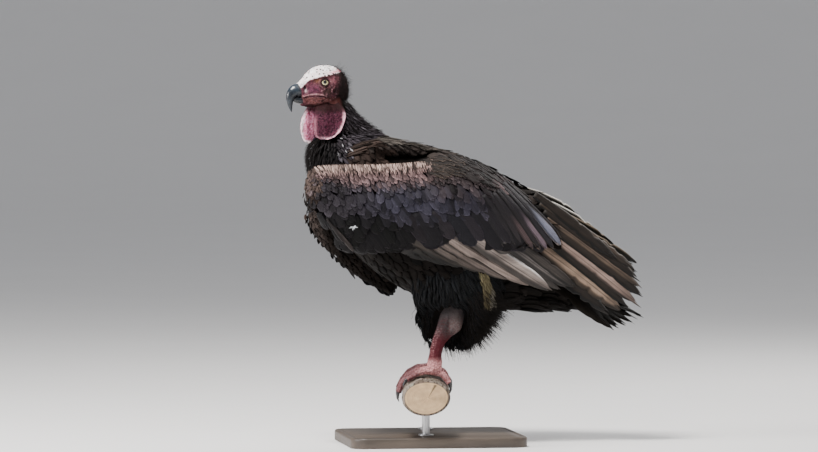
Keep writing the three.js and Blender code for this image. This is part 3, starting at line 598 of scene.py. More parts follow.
def head_skin():
    n, m = 230, 320
    f = np.concatenate([np.linspace(40, -50, n - 8), np.linspace(-50.8, -52.9, 8)])
    top, bottom, half = look(SKULL, f).T
    a = 2 * np.pi * np.arange(m) / m
    s, c = np.sin(a)[None], np.cos(a)[None]
    w = half[:, None] * np.where(s < 0, 1 - 0.16 * s * s, 1 - 0.05 * s * s)
    l = w * spow(c, 0.92)
    z = (top + bottom)[:, None] / 2 + (top - bottom)[:, None] / 2 * spow(s, 0.92)
    P = np.stack([np.broadcast_to(f[:, None], l.shape), l, z], -1).reshape(-1, 3)
    V, Q = loft(P.reshape(n, m, 3))
    N = normals(V, Q)
    f, l, z = V.T
    al = np.abs(l)
    d = np.zeros(len(V))
    side = smooth(4, 12, al)
    # brow and the hollow before and under the eye
    r, t = polyline(f, z, BROW)
    d += side * bell(r, 2.7) * 2.3 * smooth(0, 0.2, t) * smooth(1.0, 0.8, t)
    r2 = np.hypot((f - 13) / 9, (z + 3) / 5)
    d -= side * bell(r2, 1) * 2.0
    d -= side * bell(np.hypot((f + 2) / 14, (z + 14) / 4.5), 1) * 0.9
    # cheek, jaw line and corner of the mouth
    d += side * bell(np.hypot((f + 12) / 11, (z + 25) / 7), 1) * 1.6
    r, t = polyline(f, z, MOUTH)
    d -= side * bell(r, 0.85) * 1.7 * smooth(1.0, 0.85, t)
    d += side * bell(polyline(f, z - 2.3, MOUTH)[0], 1.5) * 1.0 * smooth(1.0, 0.7, t)
    d += side * bell(polyline(f, z + 2.6, MOUTH)[0], 1.7) * 0.7 * smooth(1.0, 0.7, t)
    # nostril: an upright slit in a low swelling
    q = (f - 29.8 + (z + 10.2) * 0.22) / 1.75
    d += side * bell(np.hypot((f - 29.8) / 3.8, (z + 10) / 5.8), 1) * 0.9
    nost = smooth(3, 6, al) * bell(np.hypot(q, (z + 10.2) / 3.5), 1)
    d -= nost * 3.4
    # ear: a round hole in a folded ring
    re = np.hypot((f + 17.5), (z + 16.5) / 1.2)
    d += side * (bell(re - 4.2, 1.2) * 0.6 - bell(re, 2.3) * 2.2 - bell(re - 6.6, 1.0) * 0.35)
    # folds round the eye, over cheek and nape
    ray = np.arctan2(z + 0.4, f + 4)
    ro = np.hypot(f + 4, z + 0.4)
    warp = fbm(V, 9, 3) * 2.2
    d += side * 0.33 * np.sin(ro * 1.75 + warp * 1.3 + 0.6 * np.sin(3 * ray)) * bell(ro - 14, 6) * (0.4 + 0.6 * smooth(-0.2, 0.5, fbm(V, 7, 9)))
    lower = smooth(-4, -18, z) * side
    d += lower * 0.33 * np.sin((z * 0.9 + f * 0.42) * 1.6 + warp * 2.0) * (0.4 + 0.6 * fbm(V, 11, 5))
    back = smooth(-16, -34, f)
    d += back * 0.55 * np.sin(f * 1.3 + z * 0.35 + warp * 1.6)
    calm = 1 - 0.9 * smooth(24, 30, f)
    d += (0.42 * fbm(V, 4.5, 21, 3) + 0.55 * fbm(V, 12, 33, 2)) * calm
    d += 0.9 * smooth(25, 31, f)
    b1, _ = cells(V, 2.3, 4)
    warts = smooth(6, 14, z) * smooth(0.16, 0.05, b1 * 0.5) * smooth(0.1, 0.6, fbm(V, 9, 77))
    d += 0.45 * warts
    b2, b3 = cells(V, 1.5, 8)
    d += (0.16 - 0.22 * b2) * smooth(8, 2, z) * calm
    V = V + N * d[:, None]
    # lids hug the ball; the opening shows it
    for sg in (1, -1):
        c0, d0 = EYE_C * (1, sg, 1), EYE_D * (1, sg, 1)
        q = V - c0
        ax = q @ d0
        e1 = unit(np.cross(d0, [0, 0, 1.0]) * sg)
        e2 = np.cross(e1, d0) * sg
        x1, x2 = q @ e1, q @ e2
        rho = np.hypot(x1 / 0.76, np.where(x2 > 0, x2 / 0.45, x2 / 0.69))
        R = np.linalg.norm(q, axis=1)
        fold = 0.42 * np.sin((rho - 7.3) * 2.9) * smooth(13, 8, rho) * (1 + 0.35 * np.sin(ray * 2))
        want = np.where(rho < 6.85, EYE_R - 1.1, EYE_R + 1.15 + 0.5 * bell(rho - 7.6, 0.7) + np.where(x2 > 0, 0.45, 0.0))
        want = want + np.where(rho > 7.2, fold, 0) + np.where(x2 > 0, 1.9 * bell(rho - 10.6, 2.2) * smooth(0, 4, x2), 0)
        mixw = smooth(13.5, 8.3, rho)
        on = (ax > 0) & (rho < 13.5)
        newR = R * (1 - mixw) + want * mixw
        # the lids' edge is steep
        edge = smooth(6.7, 7.25, rho)
        newR = np.where(rho < 8.0, (EYE_R - 1.1) * (1 - edge) + newR * edge, newR)
        V = np.where(on[:, None], c0 + unit(q) * newR[:, None], V)
    # the face ends on the slanted edge of the horn
    lim = 32.6 + (V[:, 2] + 30) / 27 * 6.5 
    V[:, 0] = np.minimum(V[:, 0], lim)
    # colours
    f, l, z = V.T
    al = np.abs(l)
    crown = np.array([0.93, 0.83, 0.835])
    col = np.tile(np.array([0.096, 0.030, 0.043]), (len(V), 1))

    def blend(w, c):
        nonlocal col
        w = np.clip(w, 0, 1)[:, None]
        col = col * (1 - w) + np.array(c) * w

    nz = fbm(V, 8, 61)
    nf = fbm(V, 3.2, 62)
    rb = np.interp(f, [-28, -20, -6, 7, 22.4, 30, 34, 40], [15.5, 13.8, 10.4, 8.2, 2.8, -5.0, -9, -12])
    blend(smooth(-15, -31, f + 7 * nf), [0.022, 0.012, 0.012])
    blend(side * bell(np.hypot((f - 16) / 13, (z + 14) / 8), 1) * 0.85, [0.112, 0.031, 0.060])
    blend(side * bell(np.hypot((f + 6) / 9, (z + 17) / 8), 1) * 0.9, [0.040, 0.024, 0.020])
    blend(side * bell(np.hypot((f - 10) / 6.0, (z - 1.5) / 4), 1) * 0.85, [0.135, 0.056, 0.030])
    blend(side * bell(np.hypot((f + 17) / 7, (z - 3) / 8), 1) * 0.55, [0.24, 0.090, 0.105])
    rj, tj = polyline(f, z, MOUTH)
    blend(smooth(-25, -28, z) * side * smooth(-30, -8, f), [0.185, 0.072, 0.070])
    blend(side * bell(polyline(f, z - 2.2, MOUTH)[0], 1.5) * smooth(0.95, 0.7, tj) * 0.7, [0.44, 0.23, 0.24])
    blend(side * bell(rj, 0.8) * smooth(1.0, 0.9, tj) * 0.9, [0.035, 0.010, 0.012])
    blend(bell(np.hypot((f - 29.0) / 2.7, (z + 15.5) / 2.9), 1) * 0.85 * smooth(-0.5, 0.2, nf), [0.80, 0.58, 0.60])
    blend(smooth(-36.5, -41, z + nz * 1.5) * smooth(34, 24, f), [0.022, 0.007, 0.007])
    blend(smooth(-1.0, 1.0, z - rb + nf * 0.9) * smooth(-36, -26, f + nz * 3), crown)
    blend(smooth(10, 24, z) * smooth(-34, -24, f) * 0.7, [0.95, 0.90, 0.90])
    blend(smooth(-0.8, 0.8, z - rb) * bell(z - rb - 2.6, 2.2) * smooth(2, -20, f + nz * 4) * 0.85, [0.74, 0.24, 0.30])
    # painted shadow: a dark band just under the brow line, before the eye, stands for the brow's shade
    blend(smooth(-0.6, -2.0, z - rb) * bell(z - rb + 1.8, 1.6) * smooth(22, 8, f) * side * 0.85, [0.030, 0.010, 0.010])
    # painted shade: the nostril slit and the ear hole are painted near black for the shade inside them
    blend(nost * 1.6, [0.012, 0.005, 0.005])
    blend(side * bell(re, 2.4), [0.02, 0.010, 0.010])
    blend(side * smooth(12, 3, re) * smooth(-0.3, 0.4, nf) * 0.75, [0.030, 0.016, 0.016])
    blend(side * smooth(0.05, 0.55, fbm(V, 6.5, 66)) * smooth(-2, -8, z) * smooth(20, 8, f) * smooth(-40, -34, z) * 0.9, [0.022, 0.011, 0.011])
    blend(side * smooth(0.15, 0.6, fbm(V, 4.2, 68)) * smooth(-36, -30, z) * smooth(6, 0, z) * 0.5, [0.33, 0.155, 0.175])
    for sg in (1, -1):
        q = V - EYE_C * (1, sg, 1)
        rho = np.linalg.norm(q - (q @ (EYE_D * (1, sg, 1)))[:, None] * (EYE_D * (1, sg, 1)), axis=1)
        on = (q @ (EYE_D * (1, sg, 1))) > 0
        blend(on * bell(rho - 5.6, 2.2), [0.012, 0.008, 0.008])
        blend(on * bell(rho - 10.2, 0.8) * 0.35, [0.24, 0.11, 0.11])
    col = col * (1 + (0.55 - 0.35 * smooth(-1, 1, z - rb))[:, None] * nf[:, None] + 0.14 * nz[:, None])
    # sparse dark bristle pits on the crown
    pit, _ = cells(V, 5.6, 14)
    blend(smooth(0.36, 0.26, pit) * smooth(2, 6, z) * smooth(31, 25, f) * 0.96, [0.018, 0.012, 0.015])
    dark, _ = cells(V, 1.9, 15)
    blend(smooth(0.50, 0.22, dark) * smooth(4, -4, z) * 0.75, [0.024, 0.008, 0.013])
    return head(*V.T), Q, np.clip(col, 0.004, 0.95)


# ------------------------------------------------------------------ lappets
LAPPET = {
    1: [(0, 1, -26, -34, 23.5), (0.15, 12, -31, -46, 28), (0.35, 17, -31.5, -58, 31), (0.55, 19, -28, -71, 33), (0.75, 19, -19.5, -84, 34), (0.9, 15.5, -9, -92.5, 35), (1, 9, 1, -97, 35.5)],
    -1: [(0, -2, -29, -34, 23.5), (0.15, 5, -35, -47, 28), (0.35, 10.5, -38, -60, 31), (0.55, 13, -37, -75, 33), (0.75, 11.5, -31, -89, 35), (0.9, 6, -22, -100, 36.5), (1, -4, -12, -106, 37)],
}


def lappet(side):
    n, m = 110, 140
    t = np.concatenate([np.linspace(0, 0.9, n - 30), 1 - (1 - 0.9) * (1 - np.linspace(0, 1, 31)[1:]) ** 1.6])
    fr, bk, zz, off = look(LAPPET[side], t).T
    off = off - 10 * np.clip(1 - t / 0.16, 0, 1) ** 1.4
    a = 2 * np.pi * np.arange(m) / m
    fm, hf = ((fr + bk) / 2)[:, None], ((fr - bk) / 2)[:, None]
    hf = hf * np.sqrt(np.clip(1 - ((t[:, None] - 0.9) / 0.104).clip(0, 1) ** 2.2, 0.02, 1))
    th = 3.2 * np.minimum(1, np.sqrt(np.clip((1 - t) / 0.08, 0.02, 1)))[:, None]
    c, s = np.cos(a)[None], np.sin(a)[None]
    c2 = spow(c, 0.8)
    inward = np.where(c2 > 0, 11 if side > 0 else -5, -10 if side > 0 else 8) * c2 * c2
    # plump at the rim, thinner and creased inside
    edge = np.maximum(np.abs(c2) ** 6, smooth(0.86, 1.0, t)[:, None])
    body = th * spow(s, 0.85) * (0.75 + 0.55 * edge)
    P = np.stack([np.broadcast_to(fm + hf * c2, body.shape), side * (off[:, None] - inward + body), np.broadcast_to(zz[:, None], body.shape)], -1)
    V, Q = loft(P)
    N = normals(V, Q)
    b1, b2 = cells(V, 2.5, 31)
    b3, b4 = cells(V, 1.3, 35)
    tt = np.repeat(t, m)
    cc = np.abs(np.tile(c2[0], n))
    hang = smooth(0.02, 0.2, tt)
    d = 0.75 * (0.45 - b1) * hang + 0.35 * (0.4 - b3) + 0.9 * fbm(V, 14, 41, 2) + 0.4 * np.sin(V[:, 0] * 0.55 + fbm(V, 16, 43) * 3.0) * hang
    V = V + N * d[:, None]
    rimw = np.clip(smooth(0.74, 0.97, cc + 0.08 * fbm(V, 5, 46)) + smooth(0.86, 0.97, tt), 0, 1)
    back = smooth(-0.2, -0.9, np.tile(c2[0], n))
    # dark and speckled outside, bright pink on the face turned to the throat; partly the skin's own colour and partly
    # painted light, the outside painted darker as shaded and the face turned to the throat brighter as lit
    outer = (smooth(-0.98, -0.7, np.tile(s[0], n)) if side > 0 else smooth(-0.35, 0.25, np.tile(s[0], n)))[:, None]

    def two(o, i):
        return np.array(o) * outer + np.array(i) * (1 - outer)

    base, light, pit = two([0.070, 0.017, 0.032], [0.98, 0.39, 0.58]), two([0.36, 0.115, 0.180], [0.99, 0.82, 0.90]), two([0.010, 0.004, 0.008], [0.44, 0.020, 0.080])
    rim = two([0.90, 0.48, 0.58], [0.99, 0.93, 0.95])
    o1 = outer[:, 0]
    col = base.copy()
    w = smooth(0.40, 0.72, b1)[:, None] * (0.7 + 0.2 * outer) * (1 - 0.6 * rimw[:, None])
    col = col * (1 - w) + pit * w
    w = (smooth(0.24, 0.06, b3) * 0.55)[:, None]
    col = col * (1 - w) + light * w
    low = smooth(0.84, 0.96, tt)
    w = (rimw * (0.85 * np.maximum(back, 0.55 * low) * o1 + 0.8 * (1 - o1)) * smooth(0.08, 0.3, tt))[:, None]
    col = col * (1 - w) + rim * w
    w = (bell(np.tile(c2[0], n) - 0.93, 0.09) * smooth(0.3, 0.5, tt) * (0.45 if side > 0 else 0.0))[:, None]
    col = col * (1 - w) + np.array([0.42, 0.17, 0.22]) * w
    w = (smooth(0.38 if side > 0 else 0.40, 0.14, tt + 0.06 * fbm(V, 9, 49)) * 0.94)[:, None]
    col = col * (1 - w) + np.array([0.015, 0.005, 0.005]) * w
    col *= 1 + 0.25 * fbm(V, 7, 48)[:, None]
    return head(*V.T), Q, np.clip(col, 0.004, 0.95)


# ------------------------------------------------------------------ legs and feet
def leg_skin(side):
    s = "left" if side < 0 else "right"
    v, f = node_arrays("tarsus_" + s, "foot_" + s)
    V, Q = remesh(v, f, 1.05, 2)
    V = relaxed(V, Q, 7, back=1)
    N = normals(V, Q)
    z = V[:, 2]
    foot = smooth(150, 134, z)
    stem = smooth(146, 160, z)
    pad = smooth(-0.1, -0.6, N[:, 2])
    # net of scales on the shank, cross plates on the instep and toes, beads below
    b1, b2 = cells(V, 4.3, 51)
    net = (b2 - b1)
    front = smooth(0.3, 0.8, -N[:, 0])
    plates = np.abs(np.sin((z + 2.2 * noise(V, 5, 4)) * np.pi / 3.4))
    d = stem * (0.55 * smooth(0, 0.28, net) * (1 - front) + 0.32 * smooth(0, 0.5, plates) * front)
    heel = smooth(205, 222, z)
    d = d * (1 - heel) + heel * (0.30 * fbm(V, 3.5, 8) + 0.2 * smooth(0, 0.3, net))
    over = V[:, 0] + 0.45 * (140 - z)
    tp = np.abs(np.sin(over * np.pi / 4.0 + 0.5 * noise(V, 7, 8)))
    d += foot * ((1 - pad) * 0.6 * smooth(0, 0.5, tp) + pad * 0.5 * smooth(0, 0.3, net))
    # the hock's two pads
    hc, hr = sheet(V)
    outer = smooth(0.1, 0.7, np.abs(N[:, 1]))
    d += 3.0 * bell(np.hypot((hc - 441) / 5.5, (hr - 324) / 11), 1) * outer
    d += 5.0 * bell(np.hypot((hc - 456) / 7.0, (hr - 322) / 13), 1) * smooth(-0.1, 0.6, np.maximum(np.abs(N[:, 1]), N[:, 0]))
    d -= 1.4 * bell(hc - 448.5 + (hr - 325) * 0.10, 1.3) * outer * bell(hr - 324, 13)
    V = V + N * (d - 0.25)[:, None]
    red, sal, grey = np.array([0.080, 0.016, 0.022]), np.array([0.70, 0.34, 0.34]), np.array([0.042, 0.035, 0.036])
    w = smooth(152, 133, z)[:, None]
    col = red * (1 - w) + sal * w
    w = smooth(174, 198, z + 6 * fbm(V, 12, 6))[:, None]
    col = col * (1 - w) + grey * w
    w = (bell(np.hypot((hc - 455) / 6.0, (hr - 326) / 9.5), 1) * 0.75)[:, None]
    col = col * (1 - w) + np.array([0.185, 0.150, 0.146]) * w
    # toes dusky away from the instep
    w = (foot * np.maximum(smooth(426, 413, hc + 2.5 * fbm(V, 8, 19)), smooth(452, 461, hc)) * 0.8)[:, None]
    col = col * (1 - w) + np.array([0.105, 0.050, 0.056]) * w
    groove = (1 - smooth(0.0, 0.22, np.where(foot > 0.5, np.minimum(net, tp), net)))[:, None] * 0.6 * (1 - heel[:, None])
    col = col * (1 - groove) + np.array([0.075, 0.016, 0.020]) * groove
    pale = (front * stem * smooth(0.3, 0.9, plates) * smooth(0.1, 0.3, net) * smooth(205, 190, z) * 0.45)[:, None]
    col = col * (1 - pale) + np.array([0.62, 0.34, 0.35]) * pale
    col *= 1 + 0.18 * fbm(V, 9, 17)[:, None]
    return V, Q, np.clip(col, 0.004, 0.95)


parts, cols = [], []
body_col = np.tile(np.array([0.0045, 0.0034, 0.0028]), (len(SKIN_V), 1))
_f, _l, _z = to_head(SKIN_V)
m = (smooth(-36, -26, _f) * smooth(-92, -80, _z) * smooth(40, 30, np.abs(_l)))[:, None]
body_col = body_col * (1 - m) + np.array([0.085, 0.028, 0.026]) * m
parts.append((SKIN_V, FORM_Q))
cols.append(body_col)
for v, q, c in (head_skin(), lappet(1), lappet(-1), leg_skin(-1), leg_skin(1)):
    parts.append((v, q))
    cols.append(c)
SV, SQ = stack(parts)
make("skin", SV, SQ, colors={"tone": np.concatenate(cols)}, mats=[M_SKIN], replaces=["head", "neck", "trunk", "lappet_left", "lappet_right", "thigh_left", "thigh_right", "tarsus_left", "tarsus_right", "foot_left", "foot_right"])


# ------------------------------------------------------------------ eyes
def eye_mat():
    m, nt, b = new_mat("eye")
    g = G(nt)
    r, a, _ = g.xyz(g.attr("iris").outputs["Vector"])
    st = g.noise(g.join(g.math("MULTIPLY", g.math("COSINE", a), 9.0), g.math("MULTIPLY", g.math("SINE", a), 9.0), g.math("MULTIPLY", r, 0.15)), 1.0, 3.0)
    iris = g.mix(g.ramp(st, 0.3, 0.7), (0.34, 0.27, 0.10), (0.62, 0.56, 0.32))
    iris = g.mix(g.ramp(r, 4.6, 6.2), iris, (0.26, 0.19, 0.07))
    col = g.mix(g.ramp(r, 2.75, 3.1), (0.004, 0.004, 0.005), iris)
    col = g.mix(g.ramp(r, 6.1, 6.7), col, (0.05, 0.03, 0.025))
    g.put(b.inputs["Base Color"], col)
    b.inputs["Roughness"].default_value = 0.12
    b.inputs["Coat Weight"].default_value = 1.0
    b.inputs["Coat Roughness"].default_value = 0.02
    return m


M_EYE = eye_mat()


def eye(sg, name, node):
    c0, d0 = EYE_C * (1, sg, 1), EYE_D * (1, sg, 1)
    e1 = unit(np.cross(d0, [0, 0, 1.0]))
    e2 = np.cross(e1, d0)
    n, m = 60, 64
    th = np.linspace(0.004, np.pi - 0.004, n)
    a = 2 * np.pi * np.arange(m) / m
    rad = EYE_R + 0.75 * bell(th, 0.52)
    P = c0 + rad[:, None, None] * (np.cos(th)[:, None, None] * d0 + np.sin(th)[:, None, None] * (np.cos(a)[None, :, None] * e1 + np.sin(a)[None, :, None] * e2))
    V, Q = loft(P)
    r = np.repeat(np.where(th < 1.5, EYE_R * np.sin(th), 20), m)
    make(name, head(*V.T), Q, attrs={"iris": np.stack([r, np.tile(a, n), 0 * r], 1)}, mats=[M_EYE], replaces=[node])


eye(1, "eyeball_left", "eye_left")
eye(-1, "eyeball_right", "eye_right")

# ------------------------------------------------------------------ bill and claws
UPPER_BILL = [(29, -14.5, 12.2, 11), (36, -15, 12.1, 10.6), (42.5, -16.3, 11.6, 9.4), (47.5, -19.8, 10.3, 8.2), (51, -25, 8.3, 6.9), (52.4, -31.5, 6.1, 5.6), (52.2, -38.5, 4.5, 4.2), (51, -45, 2.8, 2.7), (49.4, -51, 0.6, 0.6)]
LOWER_BILL = [(25, -32.5, 6.0, 9.2), (32, -31.6, 6.4, 8.6), (38, -30.4, 6.6, 7.2), (43, -29.4, 5.4, 5.4), (46.4, -28.6, 3.4, 3.4), (48.2, -28.2, 0.8, 0.8)]


def bill(table, name, node, lower=False):
    T = np.array(table, float)
    n, m = 90, 72
    k = np.arange(len(T))
    s = np.linspace(0, len(T) - 1, n)
    row = look(np.column_stack([k, T]), s)
    path = row[:, :2]
    d = unit(np.gradient(path, axis=0))
    nrm = np.stack([-d[:, 1], d[:, 0]], 1)
    a = 2 * np.pi * np.arange(m) / m
    ca, sa = np.cos(a)[None], np.sin(a)[None]
    up = spow(sa, 1.0) * row[:, 2][:, None]
    # the ridge is narrow and the cutting edge pinched
    w = row[:, 3][:, None] * spow(ca, 0.95) * np.where(sa > 0, 1 - 0.16 * sa**2, 1 - 0.10 * sa**2)
    f = path[:, 0][:, None] + nrm[:, 0][:, None] * up
    z = path[:, 1][:, None] + nrm[:, 1][:, None] * up
    P = np.stack([f, np.broadcast_to(w, f.shape), z], -1)
    V, Q = loft(P)
    N = normals(V, Q)
    t = np.repeat(s / (len(T) - 1), m)
    V = V + N * (0.10 * np.sin(t * 75 + fbm(V, 8, 3) * 3) * smooth(0.7, 0.1, t) + 0.12 * fbm(V, 5, 5))[:, None]
    col = np.tile(np.array([0.007, 0.009, 0.013]), (len(V), 1))
    w = (smooth(0.7, 0.2, t) * smooth(-22, -8, V[:, 2]) * 0.7)[:, None] if not lower else 0.04 * smooth(0.8, 0.2, t)[:, None]
    col = col * (1 - w) + np.array([0.022, 0.037, 0.056]) * w
    w = (smooth(0.30, 0.12, t) * (0.5 + 0.5 * fbm(V, 4, 9)) * 0.5)[:, None]
    col = col * (1 - w) + np.array([0.05, 0.045, 0.045]) * w
    make(name, head(*V.T), Q, colors={"tone": np.clip(col, 0.003, 1)}, mats=[M_HORN], replaces=[node])


bill(UPPER_BILL, "horn_upper", "bill_upper")
bill(LOWER_BILL, "horn_lower", "bill_lower", True)

for sd in ("left", "right"):
    for toe in ("inner", "middle", "outer", "hind"):
        v, f = node_arrays(f"claw_{sd}_{toe}")
        V, Q = remesh(v, f, 0.55, 1)
        V = relaxed(V, Q, 10, back=1)
        N = normals(V, Q)
        V = V + N * (0.12 * fbm(V, 3, 5))[:, None]
        make(f"talon_{sd}_{toe}", V, Q, colors={"tone": np.clip(np.array([0.022, 0.02, 0.022]) * (1 + 0.6 * fbm(V, 5, 9)[:, None]), 0.003, 1)}, mats=[M_CLAW], replaces=[f"claw_{sd}_{toe}"])


# ------------------------------------------------------------------ feathers
def outline(v, kind):
    if kind == "round":
        return np.minimum(1, 0.35 + 2.1 * v) * np.sqrt(np.clip(1 - (np.clip(v - 0.55, 0, 1) / 0.455) ** 2.4, 0, 1))
    if kind == "plume":
        return np.minimum(1, 0.5 + 1.6 * v) * np.clip(1 - v**2.6, 0, 1) ** 0.8
    if kind == "hair":
        return (1 - v) ** 0.8 + 0.02
    if kind == "tail":
        return np.minimum(1, 0.55 + 1.0 * v) * np.sqrt(np.clip(1 - (np.clip(v - 0.62, 0, 1) / 0.385) ** 1.8, 0, 1))
    return np.minimum(1, 0.6 + 1.0 * v) * np.sqrt(np.clip(1 - (np.clip(v - 0.70, 0, 1) / 0.305) ** 2.2, 0, 1))


class Coat:
    """gathers feathers into one piece"""

    def __init__(self, name, mat, slot, replaces=()):
        self.name, self.mat, self.slot, self.rep = name, mat, slot, replaces
        self.V, self.Q, self.FU, self.FM, self.T, self.UV, self.n = [], [], [], [], [], [], 0

    def add(self, P, N, W, tone, kind, S, C, uvroot, cup=0.25, th=0.25, fray=0.0, v=None, asym=0.0, nick=0.0, patch=0.003, tipshift=0.0):
        """P (n,S,3) centre lines, N normals, W half widths (n,), tone (n,3)"""
        n = len(P)
        if n == 0:
            return
        v = np.linspace(0, 1, S) if v is None else v
        D = unit(np.gradient(P, axis=1))
        side = unit(np.cross(D, N))
        Nn = np.cross(side, D)
        w = outline(v, kind)[None] * W[:, None]
        rnd = RNG.random(n)
        if nick:
            for _ in range(3):
                at_v = RNG.uniform(0.35, 0.98, n)
                dep = RNG.uniform(0, nick, n)
                w = w * (1 - dep[:, None] * np.exp(-(((v[None] - at_v[:, None]) / 0.022) ** 2)))
        w = np.maximum(w, 0.12)
        u = np.linspace(-1, 1, C)
        um = np.where(u < 0, 1 + asym, 1 - asym)
        off = (u * um)[None, None] * w[..., None]
        drop = cup * (u**2)[None, None] * w[..., None]
        base = P[:, :, None] + side[:, :, None] * off[..., None] - Nn[:, :, None] * drop[..., None]
        L = np.linalg.norm(np.diff(P, axis=1), axis=2).sum(1)
        if fray:
            jag = RNG.normal(0, 1, (n, 1, C)) * fray * (v[None, :, None] ** 7)
            base = base + D[:, :, None] * jag[..., None]
        if tipshift:
            base = base + D[:, :, None] * (-tipshift * (u**2)[None, None] * w[..., None] * (v[None, :, None] ** 2))[..., None]
        ridge = th * (1 - u**2)
        top = base + Nn[:, :, None] * ridge[None, None, :, None]
        bot = base[:, :, 1:-1] - Nn[:, :, None] * (0.5 * ridge[1:-1])[None, None, :, None]
        ring = np.concatenate([top, bot[:, :, ::-1]], 2)
        R = ring.shape[2]
        uu = np.concatenate([u, u[1:-1][::-1]])
        vv = np.broadcast_to(v[None, :, None], (n, S, R))
        U = np.broadcast_to(uu[None, None], (n, S, R))
        xm = U * w[..., None]
        ym = vv * L[:, None, None]
        edge = np.minimum((1 - np.abs(U)) * w[..., None], (1 - vv) * L[:, None, None] * 0.8)
        self.FU.append(np.stack([U * 0.5 + 0.5, vv, edge], -1).reshape(-1, 3))
        self.FM.append(np.stack([xm, ym, np.broadcast_to(rnd[:, None, None], vv.shape)], -1).reshape(-1, 3))
        if callable(tone):
            self.T.append(tone(U, vv).reshape(-1, 3))
        else:
            self.T.append(np.repeat(tone, S * R, 0))
        uvr = np.clip(uvroot, 0.01, 0.985)
        uv = uvr[:, None, None] + np.stack([U * 0.5, vv], -1) * patch
        self.UV.append(uv.reshape(-1, 2))
        self.V.append(ring.reshape(-1, 3))
        q = grid_quads(S, R)
        a = np.arange(R // 2 - 1)
        cap = np.stack([a, a + 1, R - 2 - a, R - 1 - a], -1)
        q = np.concatenate([q, cap[:, ::-1], cap + (S - 1) * R])
        allq = (q[None] + (np.arange(n) * S * R)[:, None, None]).reshape(-1, 4)
        self.Q.append(allq[:, ::-1] + self.n)
        self.n += n * S * R

    def done(self):
        V, Q = np.concatenate(self.V), np.concatenate(self.Q)
        print("COAT", self.name, len(Q) * 2, "triangles", flush=True)
        return make(self.name, V, Q, attrs={"fu": np.concatenate(self.FU), "fm": np.concatenate(self.FM)}, colors={"tone": np.clip(np.concatenate(self.T), 0.002, 0.95)}, uv=np.concatenate(self.UV), mats=[self.mat], replaces=self.rep)


def scatter(V, Q, N, spacing, keep, tries=7):
    """points spread over a skin, none closer than spacing(p)"""
    A = V[Q]
    area = 0.5 * np.linalg.norm(np.cross(A[:, 2] - A[:, 0], A[:, 3] - A[:, 1]), axis=1)
    cen = A.mean(1)
    area = area * keep(cen, N[Q].mean(1))
    sp = spacing(cen)
    lam = area / sp**2
    k = int(lam.sum() * tries)
    if k == 0:
        return np.zeros((0, 3)), np.zeros((0, 3))
    idx = RNG.choice(len(Q), k, p=lam / lam.sum())
    a, b = RNG.random((2, k, 1))
    p = (A[idx, 0] * (1 - a) + A[idx, 1] * a) * (1 - b) + (A[idx, 3] * (1 - a) + A[idx, 2] * a) * b
    nn = unit(N[Q[idx]].mean(1))
    s = spacing(p)
    cell = float(s.max())
    grid, out = {}, []
    ip = np.floor(p / cell).astype(int)
    pl, sl = p.tolist(), s.tolist()
    for i in range(k):
        x, y, z = pl[i]
        g = ip[i]
        r2 = sl[i] ** 2
        ok = True
        for dx in (-1, 0, 1):
            for dy in (-1, 0, 1):
                for dz in (-1, 0, 1):
                    for j in grid.get((g[0] + dx, g[1] + dy, g[2] + dz), ()):
                        q = pl[j]
                        if (q[0] - x) ** 2 + (q[1] - y) ** 2 + (q[2] - z) ** 2 < r2:
                            ok = False
                            break
                    if not ok:
                        break
                if not ok:
                    break
            if not ok:
                break
        if ok:
            grid.setdefault((g[0], g[1], g[2]), []).append(i)
            out.append(i)
    return p[out], nn[out]


# how the coat lies: column, row, side (0 both), then columns and rows per step and the sideways part
LIE = [
    (318, 150, 0, 0.10, 1.0, 0.25), (330, 135, 0, 0.35, 1.0, 0.2), (350, 110, 0, 0.55, 0.9, 0), (370, 122, 0, 0.85, 0.62, 0), (345, 145, 0, 0.6, 1.0, 0), (395, 140, 0, 1, 0.34, 0), (430, 147, 0, 1, 0.25, 0), (470, 160, 0, 1, 0.35, 0), (510, 185, 0, 1, 0.5, 0), (550, 215, 0, 1, 0.7, 0),
    (312, 200, 0, 0.25, 1, 0), (325, 250, 0, 0.5, 1, 0), (370, 285, 0, 1, 0.5, 0), (420, 302, 0, 1, 0.25, 0), (470, 250, 0, 1, 0.6, 0), (500, 300, 0, 1, 0.2, 0), (550, 290, 0, 1, 0.3, 0), (580, 290, 0, 1, 0.45, 0),
]
LP = at([r[0] for r in LIE], [r[1] for r in LIE], 0)
LDIR = np.stack([[r[3] for r in LIE], [0 for _ in LIE], [-r[4] for r in LIE]], -1).astype(float)


def lie(p, n):
    d2 = (p[:, None, 0] - LP[None, :, 0]) ** 2 + (p[:, None, 2] - LP[None, :, 2]) ** 2 + 60
    w = d2**-1.6
    d = (w[..., None] * unit(LDIR)[None]).sum(1) / w.sum(1, keepdims=True)
    d = d + 0.10 * RNG.normal(0, 1, d.shape)
    d = d - n * (d * n).sum(1, keepdims=True)
    return unit(d)


def trail(p, n, d, L, S, h0, h1, core=None, curl=0.0, power=0.8):
    """centre lines that follow the form below, rising from h0 to h1"""
    core = core or CORE
    P = np.zeros((len(p), S, 3))
    N = np.zeros((len(p), S, 3))
    q, nn, dd = p.copy(), n.copy(), d.copy()
    for k in range(S):
        t = k / (S - 1)
        h = h0 + (h1 - h0) * t**power
        P[:, k] = q + nn * np.reshape(h, (-1, 1))
        N[:, k] = nn
        if k == S - 1:
            break
        step = (L / (S - 1))[:, None]
        q2 = q + dd * step
        for i in range(len(q2)):
            loc, no, _, dist = core.find_nearest(Vector(q2[i]))
            if loc is not None and dist < 14:
                no = np.array(no)
                if no @ nn[i] > 0.1:
                    m = unit(nn[i] * 0.55 + no * 0.45)
                    q2[i] = q2[i] + nn[i] * ((np.array(loc) - q2[i]) @ nn[i])
                    nn[i] = m
        q = q2
        dd = unit(dd - nn * (dd * nn).sum(1, keepdims=True) + nn * curl)
    return P, N


